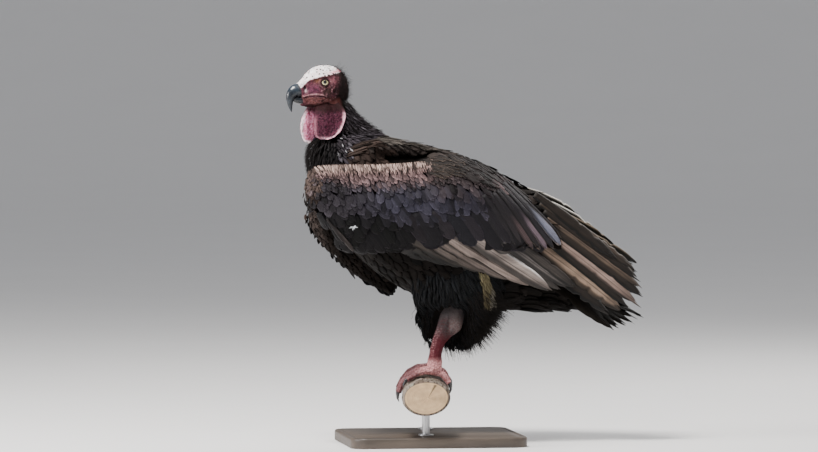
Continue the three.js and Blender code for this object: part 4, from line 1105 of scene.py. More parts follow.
def body_uv(p):
    """unrolled round the body's own long axis"""
    mid = np.interp(p[:, 0], [-230, -100, 60, 300], [430, 400, 350, 250])
    ang = np.arctan2(p[:, 1], p[:, 2] - mid)
    return np.stack([ang / (2 * np.pi) + 0.5, (p[:, 0] + p[:, 2] * -0.35 + 420) / 720], 1)


CORE_N = normals(CORE_V, FORM_Q)
cen = CORE_V[FORM_Q].mean(1)
REG = region_of(cen)
REG_OF = dict(zip(map(tuple, np.round(cen, 3)), REG))


def in_region(*names):
    mask = np.isin(REG, names)
    return lambda c, n, mask=mask: mask.astype(float)


def jitter(n, amt=0.18):
    return 1 + amt * RNG.normal(0, 1, (n, 1))


# --- neck and ruff: short soft feathers, whiskery at the nape
LAP = tree(*stack([(parts[2][0], parts[2][1]), (parts[3][0], parts[3][1])]))


def clear_of_lappets(p, gap=7.0):
    return np.array([LAP.find_nearest(Vector(q))[3] > gap for q in p], bool)


def neck_coat():
    coat = Coat("neck_feathers", M_DOWN, "plumage_black", ())

    def keep(c, n):
        f, l, z = to_head(c)
        m = (REG == "neck").astype(float)
        throat = (f > -17) & (z > -93) & (np.abs(l) < 34)
        return m * np.where(throat, 0, 1)

    sp = lambda c: np.interp(sheet(c)[1], [95, 125, 150, 175], [2.9, 3.7, 4.7, 6.5])
    p, n = scatter(CORE_V, FORM_Q, CORE_N, sp, keep)
    ok = clear_of_lappets(p)
    p, n = p[ok], n[ok]
    d = lie(p, n)
    c, r = sheet(p)
    front = smooth(334, 322, c)
    L = np.interp(r, [95, 125, 150, 175], [12, 12.5, 14, 20]) * RNG.uniform(0.75, 1.3, len(p)) * (1 + 0.35 * front)
    W = np.interp(r, [95, 125, 150, 175], [1.9, 2.9, 4.0, 5.2]) * RNG.uniform(0.8, 1.2, len(p)) * (1 - 0.45 * front)
    lift = RNG.uniform(1.6, 3.8, len(p)) + np.interp(r, [95, 130], [2.6, 0.0]) + 1.5 * front
    P, N = trail(p, n, d, L, 6, -0.8, lift, curl=0.05)
    side = smooth(332, 346, c) * smooth(100, 115, r)
    tone = np.array([0.0075, 0.0068, 0.0072])[None] * (1 - side[:, None]) + np.array([0.030, 0.025, 0.030])[None] * side[:, None]
    tone = tone * jitter(len(p), 0.35) * (1 + 0.5 * fbm(p, 16, 12)[:, None])
    grey = (RNG.random(len(p)) < 0.20) & (side > 0.3)
    tone[grey] = np.array([0.072, 0.064, 0.074]) * jitter(grey.sum(), 0.35)
    coat.add(P, N, W, tone, "plume", 6, 3, body_uv(p), cup=0.25, th=0.3)
    # a few pale tips low on the side
    cc, rr = np.array([344.5, 348.2, 351.8, 356.6, 349.5]), np.array([155.2, 141.5, 153.2, 151.0, 147.0])
    for sd in (-1, 1):
        o = [CORE.ray_cast(Vector(at(a, b, sd * 130)), Vector((0, -sd, 0))) for a, b in zip(cc, rr)]
        o = [x for x in o if x[0] is not None]
        q, qn = np.array([np.array(x[0]) for x in o]), np.array([np.array(x[1]) for x in o])
        P, N = trail(q, qn, lie(q, qn), RNG.uniform(7, 11, len(q)), 6, 1.8, RNG.uniform(3.4, 4.6, len(q)))
        coat.add(P, N, RNG.uniform(1.0, 1.7, len(q)), np.tile([0.24, 0.235, 0.25], (len(q), 1)) * jitter(len(q), 0.3), "plume", 6, 3, body_uv(q), cup=0.2, th=0.3)
    # loose whiskers standing off nape, ruff and breast
    keep2 = lambda c, n: keep(c, n) * np.maximum((sheet(c)[1] < 132), smooth(322, 314, sheet(c)[0]))
    p, n = scatter(CORE_V, FORM_Q, CORE_N, lambda c: np.full(len(c), 2.7), keep2)
    ok = clear_of_lappets(p, 9)
    p, n = p[ok], n[ok]
    d = lie(p, n)
    L = RNG.uniform(7, 15, len(p))
    P, N = trail(p, n, d, L, 5, 0.5, RNG.uniform(3.5, 8, len(p)), curl=0.12)
    coat.add(P, N, RNG.uniform(0.22, 0.42, len(p)), np.tile([0.013, 0.011, 0.011], (len(p), 1)) * jitter(len(p), 0.4), "hair", 5, 3, body_uv(p), th=0.15)
    coat.done()


# --- back, breast, belly and flanks
def trunk_coat():
    coat = Coat("body_feathers", M_BODY, "plumage_slate", ())

    def keep(c, n):
        col, row = sheet(c)
        hollow = (col > 380) & (col < 427) & (row > 149.5) & (row < 172) & (np.abs(c[:, 1]) < 92)
        return ((REG == "trunk") & ~hollow).astype(float)

    def sp(c):
        col, row = sheet(c)
        return np.interp(col, [310, 340, 400, 520, 590], [7.0, 8.5, 10.0, 11.5, 13]) * np.where(row < 165, 0.78, 1.0)

    p, n = scatter(CORE_V, FORM_Q, CORE_N, sp, keep)
    d = lie(p, n)
    col, row = sheet(p)
    s = sp(p)
    L = s * 3.1 * RNG.uniform(0.85, 1.2, len(p)) * (1 + 0.5 * smooth(480, 560, col))
    W = s * 0.95 * RNG.uniform(0.8, 1.15, len(p))
    P, N = trail(p, n, d, L, 6, -1.0, RNG.uniform(1.8, 3.4, len(p)))
    tone = np.tile(np.array([0.0045, 0.0035, 0.0030]), (len(p), 1))
    # painted light: feathers facing up, above row 205, are painted lighter grey-brown for the light from above
    top = (smooth(-0.25, 0.45, n[:, 2]) * (row < 205))[:, None]
    tone = tone * (1 - top) + np.array([0.040, 0.032, 0.029]) * top
    brown = ((col < 386) & (row > 146) & (row < 170))[:, None]
    tone = np.where(brown, np.array([0.027, 0.0185, 0.0155]), tone)
    tone = tone * (1 + 0.5 * fbm(p, 22, 31)[:, None]) * jitter(len(p), 0.25)
    coat.add(P, N, W, tone, "round", 6, 5, body_uv(p), cup=0.16, th=0.35, fray=1.2, nick=0.25)
    # a fringe of long pale-edged feathers over the hollow, and the brown shoulder tuft before it
    for sd in (-1, 1):
        m = 96
        cc = np.linspace(352, 432, m) + RNG.normal(0, 1.0, m)
        rr = np.interp(cc, [352, 359, 370, 387, 412, 434], [157, 149, 145, 141.5, 143, 149]) + RNG.uniform(-1.6, 4.2, m)
        o = [(a, CORE.ray_cast(Vector(at(a, b, sd * 130)), Vector((0, -sd, 0)))) for a, b in zip(cc, rr)]
        cq = np.array([a for a, x in o if x[0] is not None])
        o = [x for a, x in o if x[0] is not None]
        q, qn = np.array([np.array(x[0]) for x in o]), unit(np.array([np.array(x[1]) for x in o]))
        dirs = np.stack([np.ones(len(q)), np.zeros(len(q)), -np.interp(cq, [352, 380, 434], [-0.30, 0.02, 0.30])], 1) + 0.05 * RNG.normal(0, 1, q.shape)
        dirs = unit(dirs - qn * (dirs * qn).sum(1, keepdims=True))
        P, N = trail(q, qn, dirs, RNG.uniform(22, 38, len(q)), 8, 1.4, RNG.uniform(4.5, 7.5, len(q)))
        base = np.where((cq < 376)[:, None], np.array([0.036, 0.025, 0.021]), np.array([0.066, 0.057, 0.050])) * np.clip(jitter(len(q), 0.5), 0.3, 2.4)
        coat.add(P, N, RNG.uniform(1.2, 2.4, len(q)), base, "flight", 8, 3, body_uv(q), cup=0.15, th=0.35, fray=0.8)
    coat.done()


# --- thighs: long loose plumes with a whiskery fringe
def thigh_coat():
    coat = Coat("thigh_feathers", M_DOWN, "plumage_black", ())
    keep = in_region("thigh_left", "thigh_right")

    def down(p, n, spread=0.12):
        col, row = sheet(p)
        d = np.stack([np.interp(col, [410, 440, 470, 500], [0.02, 0.12, 0.45, 1.0]), 0 * col, -np.ones(len(p))], 1) + spread * RNG.normal(0, 1, p.shape)
        return unit(d - n * (d * n).sum(1, keepdims=True))

    def bare(P):
        """tips that would hang over the hock"""
        c, r = sheet(P[:, -1])
        c2, r2 = sheet(P[:, 0])
        out = (np.abs(P[:, 0, 1]) > 40)
        lobes = lambda a, b: (a > 432.5) & (((a - 447.5) / 15.5) ** 2 + ((b - 324) / 15.5) ** 2 < 1) | (a > 429) & (a < 444) & (b > 330)
        over = lobes(c, r)
        root = lobes(c2, r2)
        return out & (over | root)

    p, n = scatter(CORE_V, FORM_Q, CORE_N, lambda c: np.full(len(c), 5.6), keep)
    col, row = sheet(p)
    L = np.interp(row, [260, 340], [27, 16]) * RNG.uniform(0.8, 1.25, len(p))
    P, N = trail(p, n, down(p, n), L, 6, -0.8, RNG.uniform(1.6, 3.6, len(p)))
    ok = ~bare(P)
    tone = np.tile(np.array([0.0055, 0.0062, 0.0070]), (len(p), 1)) * jitter(len(p), 0.3)
    coat.add(P[ok], N[ok], RNG.uniform(2.6, 4.6, ok.sum()), tone[ok], "plume", 6, 3, body_uv(p[ok]), cup=0.25, th=0.35)
    coat.done()
    # the fringe round the bottom and rear edge
    coat = Coat("thigh_fringe", M_DOWN, "plumage_black", ())

    def keep2(c, n):
        col, row = sheet(c)
        hem = np.maximum(smooth(306, 330, row), smooth(462, 488, col) * smooth(285, 305, row))
        return keep(c, n) * hem

    p, n = scatter(CORE_V, FORM_Q, CORE_N, lambda c: np.full(len(c), 2.7), keep2)
    col, row = sheet(p)
    L = RNG.uniform(11, 23, len(p)) * (1 + 0.45 * smooth(462, 485, col))
    P, N = trail(p, n, down(p, n, 0.22), L, 6, 0.0, RNG.uniform(3.0, 11.0, len(p)) * (0.5 + 0.8 * smooth(455, 485, col)), curl=0.07)
    ok = ~bare(P)
    tone = np.tile([0.0065, 0.0055, 0.0048], (len(p), 1)) * jitter(len(p), 0.4)
    coat.add(P[ok], N[ok], RNG.uniform(0.35, 0.8, ok.sum()), tone[ok], "hair", 6, 3, body_uv(p[ok]), th=0.25)

    # stiff whiskers standing off the hem, fanned round the thigh's middle
    def hem_keep(c, n):
        a_, b_ = sheet(c)
        low = smooth(322, 336, b_ + 2 * noise(c, 9, 3)) * smooth(428, 440, a_)
        rear = smooth(474, 484, a_) * smooth(296, 308, b_)
        return keep(c, n) * np.maximum(low, rear) * (np.abs(n[:, 1]) < 0.93)

    p, n = scatter(CORE_V, FORM_Q, CORE_N, lambda c: np.full(len(c), 2.6), hem_keep)
    col, row = sheet(p)
    out = np.stack([(col - 444) * 0.9 + 4, 0 * col, -(row - 296)], 1)
    d = unit(unit(out) + 0.24 * RNG.normal(0, 1, p.shape) + n * 0.12)
    L = RNG.uniform(11, 27, len(p)) * (1 + 0.15 * smooth(465, 485, col))
    t_ = np.linspace(0, 1, 6)
    P = p[:, None] + d[:, None] * (L[:, None] * t_)[..., None] + np.array([0, 0, -1.0]) * (0.16 * L[:, None] * t_**2)[..., None]
    ok = ~bare(P)
    tone = np.tile([0.0075, 0.0062, 0.0052], (len(p), 1)) * jitter(len(p), 0.4)
    side_n = unit(np.cross(d, np.cross(n, d)))
    coat.add(P[ok], np.broadcast_to(side_n[:, None], P.shape)[ok], RNG.uniform(0.35, 0.75, ok.sum()), tone[ok], "hair", 6, 3, body_uv(p[ok]), th=0.2)
    coat.done()
    # white flank patch between thigh and vent, painted as dim olive for the shade it lies in and darker still towards
    # its lower front: a fan from the wing's edge
    coat = Coat("flank_down", M_DOWN, "plumage_brown", ())
    out = []
    for side in (-1, 1):
        k = 330
        b = RNG.uniform(0, 1, k) ** 0.8
        r = 268 + 34 * b
        c = 480.5 + 12 * RNG.uniform(0, 1, k) ** 0.8 * (0.55 + 0.45 * b) + 7.0 * b
        for a, b_ in zip(c, r):
            o = at(a, b_, side * 130)
            hit = CORE.ray_cast(Vector(o), Vector((0, -side, 0)))
            if hit[0] is not None and abs(hit[0][1]) < 96:
                out.append((np.array(hit[0]), np.array(hit[1]), a, b_))
    p = np.array([o[0] for o in out])
    n = unit(np.array([o[1] for o in out]))
    c, r = np.array([o[2] for o in out]), np.array([o[3] for o in out])
    d = np.tile(np.array([0.30, 0, -1.0]), (len(p), 1)) + 0.16 * RNG.normal(0, 1, p.shape)
    d = unit(d - n * (d * n).sum(1, keepdims=True))
    P, N = trail(p, n, d, RNG.uniform(10, 20, len(p)), 6, 0.3, RNG.uniform(3.0, 5.0, len(p)), curl=0.02)
    k = (smooth(272, 300, r) * smooth(494, 482, c))[:, None]
    tone = (np.array([0.118, 0.100, 0.056]) * (1 - k) + np.array([0.026, 0.017, 0.010]) * k) * jitter(len(p), 0.35)
    pale = (c > 492) & (r > 284)
    tone[pale] = np.array([0.22, 0.20, 0.16]) * jitter(pale.sum(), 0.3)
    coat.add(P, N, RNG.uniform(0.8, 1.9, len(p)), tone, "plume", 6, 3, body_uv(p), th=0.3)
    coat.done()


# ------------------------------------------------------------------ wings
ARM = {
    -1: [(304.8, 183, 190, 94, 5, 0, 0), (306.5, 177, 201, 95, 12, 1, 1), (312, 169.5, 211, 97, 20, 5, 3), (322, 166, 222, 99, 25, 10, 6), (348, 165, 249.5, 102, 27, 18, 10), (375, 165, 252, 105, 24, 25, 10), (400, 164, 248, 107, 22, 32, 9), (425, 162, 246, 107, 20, 42, 8), (450, 156, 246, 103, 18, 54, 7), (478, 161, 247, 95, 15, 56, 6), (500, 174, 248, 86, 12, 50, 5), (520, 189, 249, 77, 9, 42, 4), (544, 214.5, 249, 66, 5.5, 24, 3), (558, 240, 248, 59, 2.5, 4, 1)],
    1: [(306.5, 211, 220, 92, 5, 0, 0), (309, 203, 229, 93, 12, 1, 1), (315, 194, 239, 95, 19, 4, 3), (325, 186, 252, 97, 24, 8, 6), (340, 178, 267, 99, 26, 12, 9), (357, 170, 280, 102, 25, 17, 13), (374, 163, 290, 104, 23, 23, 17), (389, 158, 296.5, 105, 20, 30, 22), (398, 156, 287, 106, 19, 34, 16), (425, 153, 262, 106, 18, 44, 8), (450, 153, 252, 102, 17, 54, 7), (478, 162, 250, 94, 15, 56, 6), (500, 174, 250, 85, 12, 50, 5), (520, 185, 250, 76, 9, 42, 4), (546, 204.5, 249, 65, 5.5, 25, 3), (562, 222, 244, 57, 2.5, 6, 1)],
}


def arm_point(side, col, s):
    """outer face of the folded arm: s runs from 1 at its upper edge to -1 at its lower"""
    T = ARM[side]
    lo, hi = T[0][0], T[-1][0]
    cc = np.clip(col, lo, hi)
    top, bot, off, th, bt, bb = np.moveaxis(look(T, cc), -1, 0)
    sc = np.clip(s, -1.0, 1.0)
    p = at(cc, top, side * off)
    q = at(cc, bot, side * off)
    zm, hz = (p[..., 2] + q[..., 2]) / 2, (p[..., 2] - q[..., 2]) / 2
    x = (p[..., 0] + q[..., 0]) / 2 + (col - cc) * 1.7
    bend = np.where(s > 0, bt, bb) * sc * sc
    y = side * (off - bend + np.maximum(th - 2.2, 1.0) * np.sqrt(np.clip(1 - sc * sc, 0, 1)) ** 0.9)
    return np.stack([x, y, zm + hz * s], -1)


def arm_normal(side, col, s):
    a = arm_point(side, col + 1.5, s) - arm_point(side, col - 1.5, s)
    sc = np.clip(s, -0.86, 0.93)
    b = arm_point(side, col, sc + 0.05) - arm_point(side, col, sc - 0.05)
    n = unit(np.cross(a, b))
    return n * np.sign((n * np.array([0, side, 0])).sum(-1, keepdims=True))


def edges(col):
    return look(ARM[-1], np.clip(col, 304.8, 558))[..., :2].T


def share(col, row):
    """s of a column and row on the left arm"""
    top, bot = edges(col)
    return np.minimum(((top + bot) / 2 - row) / ((bot - top) / 2), 0.985)


VSTEP = {7: 1 - (1 - np.linspace(0, 1, 7)) ** 1.35}


def wing_paths(side, c0, r0, c1, r1, S, h0, h1, v=None, sag=None):
    """centre lines over the arm's outer face, from root to tip columns and rows (left wing's)"""
    v = np.linspace(0, 1, S) if v is None else v
    c = c0[:, None] + (c1 - c0)[:, None] * v
    r = r0[:, None] + (r1 - r0)[:, None] * v
    if sag is not None:
        r = r + sag[:, None] * 4 * v * (1 - v)
    s = share(c.ravel(), r.ravel()).reshape(c.shape)
    P = arm_point(side, c, s)
    N = arm_normal(side, c, s)
    h = h0[:, None] + (h1 - h0)[:, None] * v
    return P + N * h[..., None], N


SCALLOPS = [(438, 13.5, 246), (470, 10.0, 243.5), (498, 8.0, 247), (520, 13.0, 249), (540, 11.0, 250)]


def hem(c):
    """the row where the coverts end: scalloped behind column 425"""
    out = np.full(np.shape(c), 235.5)
    for m_, w_, b_ in SCALLOPS:
        out = np.maximum(out, 236 + (b_ - 236) * np.sqrt(np.clip(1 - ((c - m_) / w_) ** 2, 0, 1)))
    return np.where(c < 424, 260.0, out)


def arm_uv(c, r):
    return np.stack([(c - 295) / 290, (310 - r) / 180], 1)


def scapulars(coat, side, c_a, c_b, gap):
    c, r, ang, L, W, q_ = [], [], [], [], [], []
    fine = c_a < 440
    for a in np.arange(c_a, c_b, gap):
        edge = np.interp(a, [400, 425, 450, 478, 500, 520], [163, 161.5, 156, 161, 174, 189])
        for q in np.arange(-1.0, 17.5 if not fine else 13.0, 2.6 if not fine else 1.9):
            c.append(a + RNG.normal(0, 1.4) + q * 0.5)
            r.append(edge + q + RNG.normal(0, 0.5))
            ang.append(np.interp(a, [424, 455, 480, 515], [20, 30, 40, 49]) + RNG.normal(0, 5))
            L.append(np.interp(q, [0, 18], [24, 32]) * np.interp(a, [424, 500], [0.85, 1.2]))
            W.append(np.interp(q, [0, 18], [2.0, 3.0] if fine else [3.2, 5.4]))
            q_.append(q)
    c, r, ang, L, W, q_ = map(np.array, (c, r, np.radians(ang), L, W, q_))
    Lp = L / 1.7
    P, N = wing_paths(side, c, r, c + np.cos(ang) * Lp, r + np.sin(ang) * Lp, 7, np.full(len(c), 0.8) + RNG.uniform(0, 1.2, len(c)), RNG.uniform(2.2, 4.2, len(c)), VSTEP[7], RNG.normal(0, 0.6, len(c)))
    k = smooth(440, 458, c)[:, None]
    tone = np.array([0.015, 0.0108, 0.0092]) * (1 - k) + np.array([0.0112, 0.0088, 0.0086]) * k
    pink = (bell(np.hypot((c - 494) / 8, (r - 180) / 6), 1) * 0.7)[:, None]
    tone = tone * (1 - pink) + np.array([0.11, 0.075, 0.078]) * pink
    tone = tone * np.clip(jitter(len(c), 0.45), 0.3, 2.4)
    # painted shade: the far wing's scapulars are painted darker than the near wing's
    if side > 0:
        tone = tone * 0.6
    coat.add(P, N, W, tone, "round", 7, 5, arm_uv(c, r), cup=0.12, th=0.4, v=VSTEP[7], fray=0.9, nick=0.2)


def wing_coat(side):
    name = "left" if side < 0 else "right"
    coat = Coat(f"coverts_{name}", M_COVERT, "plumage_slate", [f"wing_{name}_arm"])
    rows = []
    t = 0.10
    while t < 0.97:
        if t < 0.26:
            rows.append((t, 3.9, 15, 3.9))
            t += 0.034
        elif t < 0.66:
            k = (t - 0.26) / 0.40
            rows.append((t, 5.8 + 2.8 * k, 25 + 11 * k, 6.8 + 3.4 * k))
            t += 0.050 + 0.018 * k
        else:
            rows.append((t, 11.0, 46, 13.0))
            t += 0.095
    for k, (t, gap, L, W) in enumerate(rows):
        if side > 0 and t > 0.64:
            gap, L, W = 4.6, 38, 6.6
        c = np.arange(305.5 + (k % 2) * gap / 2, 552, gap)
        c = c + RNG.normal(0, gap * 0.22, len(c))
        top, bot = edges(c)
        chord = (bot - top) / 84
        r = top + t * (bot - top) + RNG.normal(0, 1.0 + 1.8 * (t > 0.24), len(c))
        sz = np.clip(chord, 0.35, 1.05) ** 0.7
        ok = (chord > 0.12) & (c > 308.5)
        ang = np.radians(np.interp(t, [0.1, 0.25, 0.5, 1.0], [66, 60, 55, 42]) + np.interp(c, [305, 330, 430, 520, 556], [22, 6, 4, 4, 12]) + RNG.normal(0, 8, len(c)))
        Lp = L * sz / 1.7 * RNG.uniform(0.82, 1.18, len(c)) * np.interp(c, [305, 400, 500, 556], [0.75, 1, 1.1, 1.1])
        if side > 0:
            Lp = Lp * np.interp(c, [308, 340, 362, 392], [0.32, 0.38, 0.55, 1])
        c1, r1 = c + np.cos(ang) * Lp, r + np.sin(ang) * Lp
        top1, bot1 = edges(c1)
        r1 = np.minimum(r1, np.minimum(bot1 + (1.0 if side < 0 else -0.6), hem(c1) - 1.0))
        ok &= (r1 - r) > 2.5
        c, r, c1, r1, sz2 = c[ok], r[ok], c1[ok], r1[ok], sz[ok]
        m = len(c)
        if m == 0:
            continue
        S, C = (6, 5) if t < 0.26 else (7, 7)
        v = np.linspace(0, 1, S) if S == 6 else VSTEP[7]
        P, N = wing_paths(side, c, r, c1, r1, S, np.full(m, -0.9), RNG.uniform(1.2, 2.6, m), v, RNG.normal(0, 0.5, m))
        mc, mr = (c + c1) / 2, (r + r1) / 2
        tone = np.tile(np.array([0.0175, 0.0150, 0.0185]), (m, 1))
        # painted sheen: two patches of the coverts are painted bluish for the sky-lit sheen on them
        blue_sheen = (bell(np.hypot((mc - 398) / 34, (mr - 203) / 15), 1) + 0.8 * bell(np.hypot((mc - 455) / 32, (mr - 204) / 22), 1))[:, None].clip(0, 1)
        tone = tone * (1 - 0.7 * blue_sheen) + np.array([0.0225, 0.0220, 0.0345]) * 0.7 * blue_sheen
        # partly painted light: the top rows before column 450 are painted pinkish brown, their own colour brightened
        # for the light from above on the wing's upper edge
        w = smooth(0.25, 0.09, np.full(m, t))[:, None] * smooth(450, 425, c)[:, None]
        tone = tone * (1 - w) + np.array([0.088, 0.056, 0.056]) * w
        w = (smooth(0.42, 0.20, np.full(m, t)) * smooth(415, 440, c) * 0.6)[:, None]
        tone = tone * (1 - w) + np.array([0.028, 0.019, 0.017]) * w
        w = (smooth(322, 308, mc) * smooth(205, 186, mr))[:, None] * 0.6
        tone = tone * (1 - w) + np.array([0.042, 0.028, 0.024]) * w
        # painted shade: coverts low on the front half of the wing are darkened for the shade there
        dark = (smooth(206, 222, mr + 5 * fbm(P[:, 0], 20, 3)) * smooth(440, 400, mc))[:, None]
        tone = tone * (1 - 0.86 * dark)
        dark = (smooth(318, 306, mc + 0.25 * (mr - 200)) * smooth(190, 206, mr))[:, None]
        tone = tone * (1 - 0.7 * dark)
        low = (smooth(206, 232, mr) * smooth(400, 440, mc))[:, None]
        tone = tone * (1 - 0.45 * low)
        # painted shade: the far wing's coverts are painted darker than the near wing's, with a little brown added on
        # their upper part
        if side > 0:
            tone = tone * 0.6 + np.array([0.010, 0.007, 0.005]) * smooth(250, 225, mr)[:, None]
        tone = tone * (1 + 0.75 * fbm(P[:, 0], 20, 90)[:, None]) * np.clip(jitter(m, 0.42), 0.35, 2.4)
        coat.add(P, N, W * sz2 * RNG.uniform(0.85, 1.15, m), tone, "round", S, C, arm_uv(c, r), cup=0.10, th=0.35, v=v, fray=1.1, nick=0.22)
    # big rounded greater coverts, scalloped over the secondaries
    G_ = np.array([(404, 212, 425.5, 241, 13), (412, 213, 438, 246.6, 21), (443, 208, 474, 244.8, 15.5), (430, 212, 452.5, 238, 12), (469, 207, 500.5, 249, 14.5), (457, 210, 481, 239.5, 12), (483, 206, 508, 242, 11), (494, 206, 523, 250, 17), (514, 212, 541, 250.6, 15)], float)
    v = 1 - (1 - np.linspace(0, 1, 12)) ** 1.4
    P, N = wing_paths(side, G_[:, 0], G_[:, 1], G_[:, 2], G_[:, 3], 12, np.full(len(G_), 0.6), np.linspace(2.6, 4.2, len(G_)), v)
    tone = np.array([(0.010, 0.008, 0.010), (0.0085, 0.0075, 0.0095), (0.010, 0.0095, 0.0125), (0.017, 0.014, 0.017), (0.0105, 0.0095, 0.012), (0.018, 0.015, 0.019), (0.016, 0.014, 0.017), (0.0095, 0.0085, 0.010), (0.0085, 0.0075, 0.009)])
    # painted shade: the far wing's greater coverts are painted at half the near wing's tone
    coat.add(P, N, G_[:, 4] * 1.0, tone * (1.0 if side < 0 else 0.5), "round", 12, 11, arm_uv(G_[:, 0], G_[:, 1]), cup=0.10, th=0.5, v=v, fray=0.8, nick=0.10)
    # alula at the wrist
    A_ = np.array([(330, 222, 354.8, 250, 4.0), (327, 218, 345, 241, 3.4)], float)
    P, N = wing_paths(side, A_[:, 0], A_[:, 1], A_[:, 2], A_[:, 3], 12, np.full(2, 2.2), np.full(2, 4.2), None)
    coat.add(P, N, A_[:, 4], np.array([(0.022, 0.018, 0.017), (0.010, 0.008, 0.008)]), "flight", 12, 7, arm_uv(A_[:, 0], A_[:, 1]), cup=0.15, th=0.5, fray=0.8)
    scapulars(coat, side, 452, 520, 4.6)
    coat.done()

    # fine combed marginals along the upper edge, scaly round the wrist; their bright brown, brightest in the top row
    # and fading row by row, is partly their own colour and partly painted light from above
    coat = Coat(f"marginals_{name}", M_DOWN, "plumage_brown", ())
    for k, off in enumerate([0.2, 2.2, 4.4, 6.6]):
        c = np.arange(316, 436, 1.25) + RNG.normal(0, 0.35, 96)
        top, bot = edges(c)
        r = top + off + RNG.normal(0, 0.35, len(c))
        L = RNG.uniform(5.2, 8.0, len(c))
        ang = np.radians(82 + RNG.normal(0, 7, len(c)) + np.interp(c, [316, 330, 430], [-25, 0, 8]))
        P, N = wing_paths(side, c, r, c + np.cos(ang) * L, r + np.sin(ang) * L, 6, np.full(len(c), 0.3), RNG.uniform(2.0, 3.4, len(c)))
        base = np.array([(0.315, 0.228, 0.198), (0.31, 0.222, 0.198), (0.25, 0.170, 0.155), (0.165, 0.108, 0.104)][k])
        tone = base * np.clip(1 + 0.7 * RNG.normal(0, 1, (len(c), 1)), 0.14, 2.1) * (1 + 0.25 * fbm(P[:, 0], 18, 8)[:, None])
        # painted shade: the far wing's marginals are painted at half the near wing's tone
        if side > 0:
            tone = tone * 0.5
        coat.add(P, N, RNG.uniform(0.8, 1.6, len(c)), tone, "plume", 6, 3, arm_uv(c, r), cup=0.2, th=0.35)
    # wrist scales
    c, r = [], []
    for a in np.arange(306.6, 330, 1.7):
        top, bot = edges(a)
        for q in np.arange(top + 1, bot - 1, 2.8):
            if (a - 305) * 0.9 + max(0, (q - 192)) * 0.45 < 15 and q < 214:
                c.append(a + RNG.normal(0, 0.5))
                r.append(q + RNG.normal(0, 0.7))
    c, r = np.array(c), np.array(r)
    ang = np.radians(RNG.normal(76, 9, len(c)) + np.interp(c, [305, 325], [12, -6]))
    L = RNG.uniform(4.0, 6.0, len(c))
    P, N = wing_paths(side, c, r, c + np.cos(ang) * L, r + np.sin(ang) * L, 6, np.full(len(c), 0.3), RNG.uniform(0.9, 1.7, len(c)))
    tone = np.tile([0.062, 0.044, 0.038], (len(c), 1)) * np.clip(jitter(len(c), 0.45), 0.25, 2) * smooth(207, 180, r)[:, None].clip(0.12, 1)
    coat.add(P, N, RNG.uniform(1.9, 2.8, len(c)), tone, "round", 6, 5, arm_uv(c, r), cup=0.2, th=0.3)
    if side < 0:
        # the small white down feather caught on the near wing
        m = 15
        a0 = RNG.uniform(0, 2 * np.pi, m)
        L = RNG.uniform(1.6, 3.4, m)
        c, r = np.full(m, 352.6) + 0.4 * RNG.normal(0, 1, m), np.full(m, 226.4) + 0.4 * RNG.normal(0, 1, m)
        P, N = wing_paths(side, c, r, c + np.cos(a0) * L * 1.3, r + np.sin(a0) * L * 0.75, 6, np.full(m, 3.0), RNG.uniform(4.5, 6.5, m))
        coat.add(P, N, RNG.uniform(0.5, 0.9, m), np.tile([0.72, 0.76, 0.78], (m, 1)), "plume", 6, 3, arm_uv(c, r), th=0.2)
    coat.done()

    # scapulars over the elbow: thin layers with pale edges
    coat = Coat(f"scapulars_{name}", M_SCAP, "plumage_slate", ())
    scapulars(coat, side, 423, 454, 3.2)
    # long tertials: dark and purplish, the last ones blue in the light
    TT = [
        (474, 197, 501, 244, 7.5, (0.012, 0.0105, 0.0125)), (482, 195, 513, 243, 7.5, (0.017, 0.0145, 0.0165)), (488, 194, 522, 247, 7.0, (0.022, 0.018, 0.020)),
        (492, 193, 531, 247.5, 6.6, (0.070, 0.046, 0.048)), (496, 191, 538, 247.8, 6.0, (0.020, 0.016, 0.018)), (499, 190, 545, 247.6, 6.6, (0.150, 0.108, 0.130)),
        (502, 187, 551.5, 247, 6.0, (0.018, 0.0165, 0.020)), (504, 184, 557.5, 244, 9.0, (0.165, 0.17, 0.225)), (507, 183, 559.5, 239, 4.2, (0.030, 0.027, 0.031)),
    ]
    T = np.array([t[:5] for t in TT], float)
    # painted shade: the far wing's tertials are painted darker than the near wing's
    base = np.array([t[5] for t in TT]) * (1.0 if side < 0 else 0.6)
    nT = len(T)
    S_ = 22
    v = 1 - (1 - np.linspace(0, 1, S_)) ** 1.2
    lay = np.linspace(1.2, 5.2, nT)
    P, N = wing_paths(side, T[:, 0], T[:, 1], T[:, 2], T[:, 3], S_, lay - 0.8, lay + 1.4, v, np.full(nT, -1.0))
    sgn = 1 if side < 0 else -1

    def paint(U, vv):
        web = smooth(0.25, 0.75, U * sgn)[..., None]
        rim = (smooth(-0.80, -0.97, U * sgn) * smooth(0.45, 0.7, vv))[..., None]
        c_ = base[:, None, None] * (1 - 0.72 * web)
        c_ = c_ * (1 + 0.50 * np.sin(U * 17 + np.arange(nT)[:, None, None] * 2.1 + 2 * np.sin(vv * 7)))[..., None]
        late = smooth(0.40, 0.72, vv + 0.05 * np.sin(U * 5 + 2))[..., None]
        dull = np.array([0.0150, 0.0130, 0.0155])
        c_ = np.minimum(c_, dull) * (1 - late) + c_ * late
        c_ = c_ * (1 - 0.5 * smooth(0.93, 1.0, vv))[..., None]
        return c_ * (1 - rim * 0.45) + np.array([0.20, 0.18, 0.20]) * rim * 0.45

    coat.add(P, N, T[:, 4], paint, "flight", S_, 13, arm_uv(T[:, 0], T[:, 1]), cup=0.12, th=0.5, v=v, fray=1.6, nick=0.3, patch=0.014)
    coat.done()

    # underwing: the arm's inner face and front edge
    coat = Coat(f"underwing_{name}", M_BODY, "plumage_brown", ())
    keep = lambda c, n: ((REG == f"wing_{name}_arm") & (n[:, 1] * side < 0.30)).astype(float)
    T_ = np.array(ARM[side])

    def gap(c):
        cc, rr = sheet(c)
        return np.where(cc - np.interp(rr, T_[:8, 2], T_[:8, 0]) < 13, 3.9, 5.6)

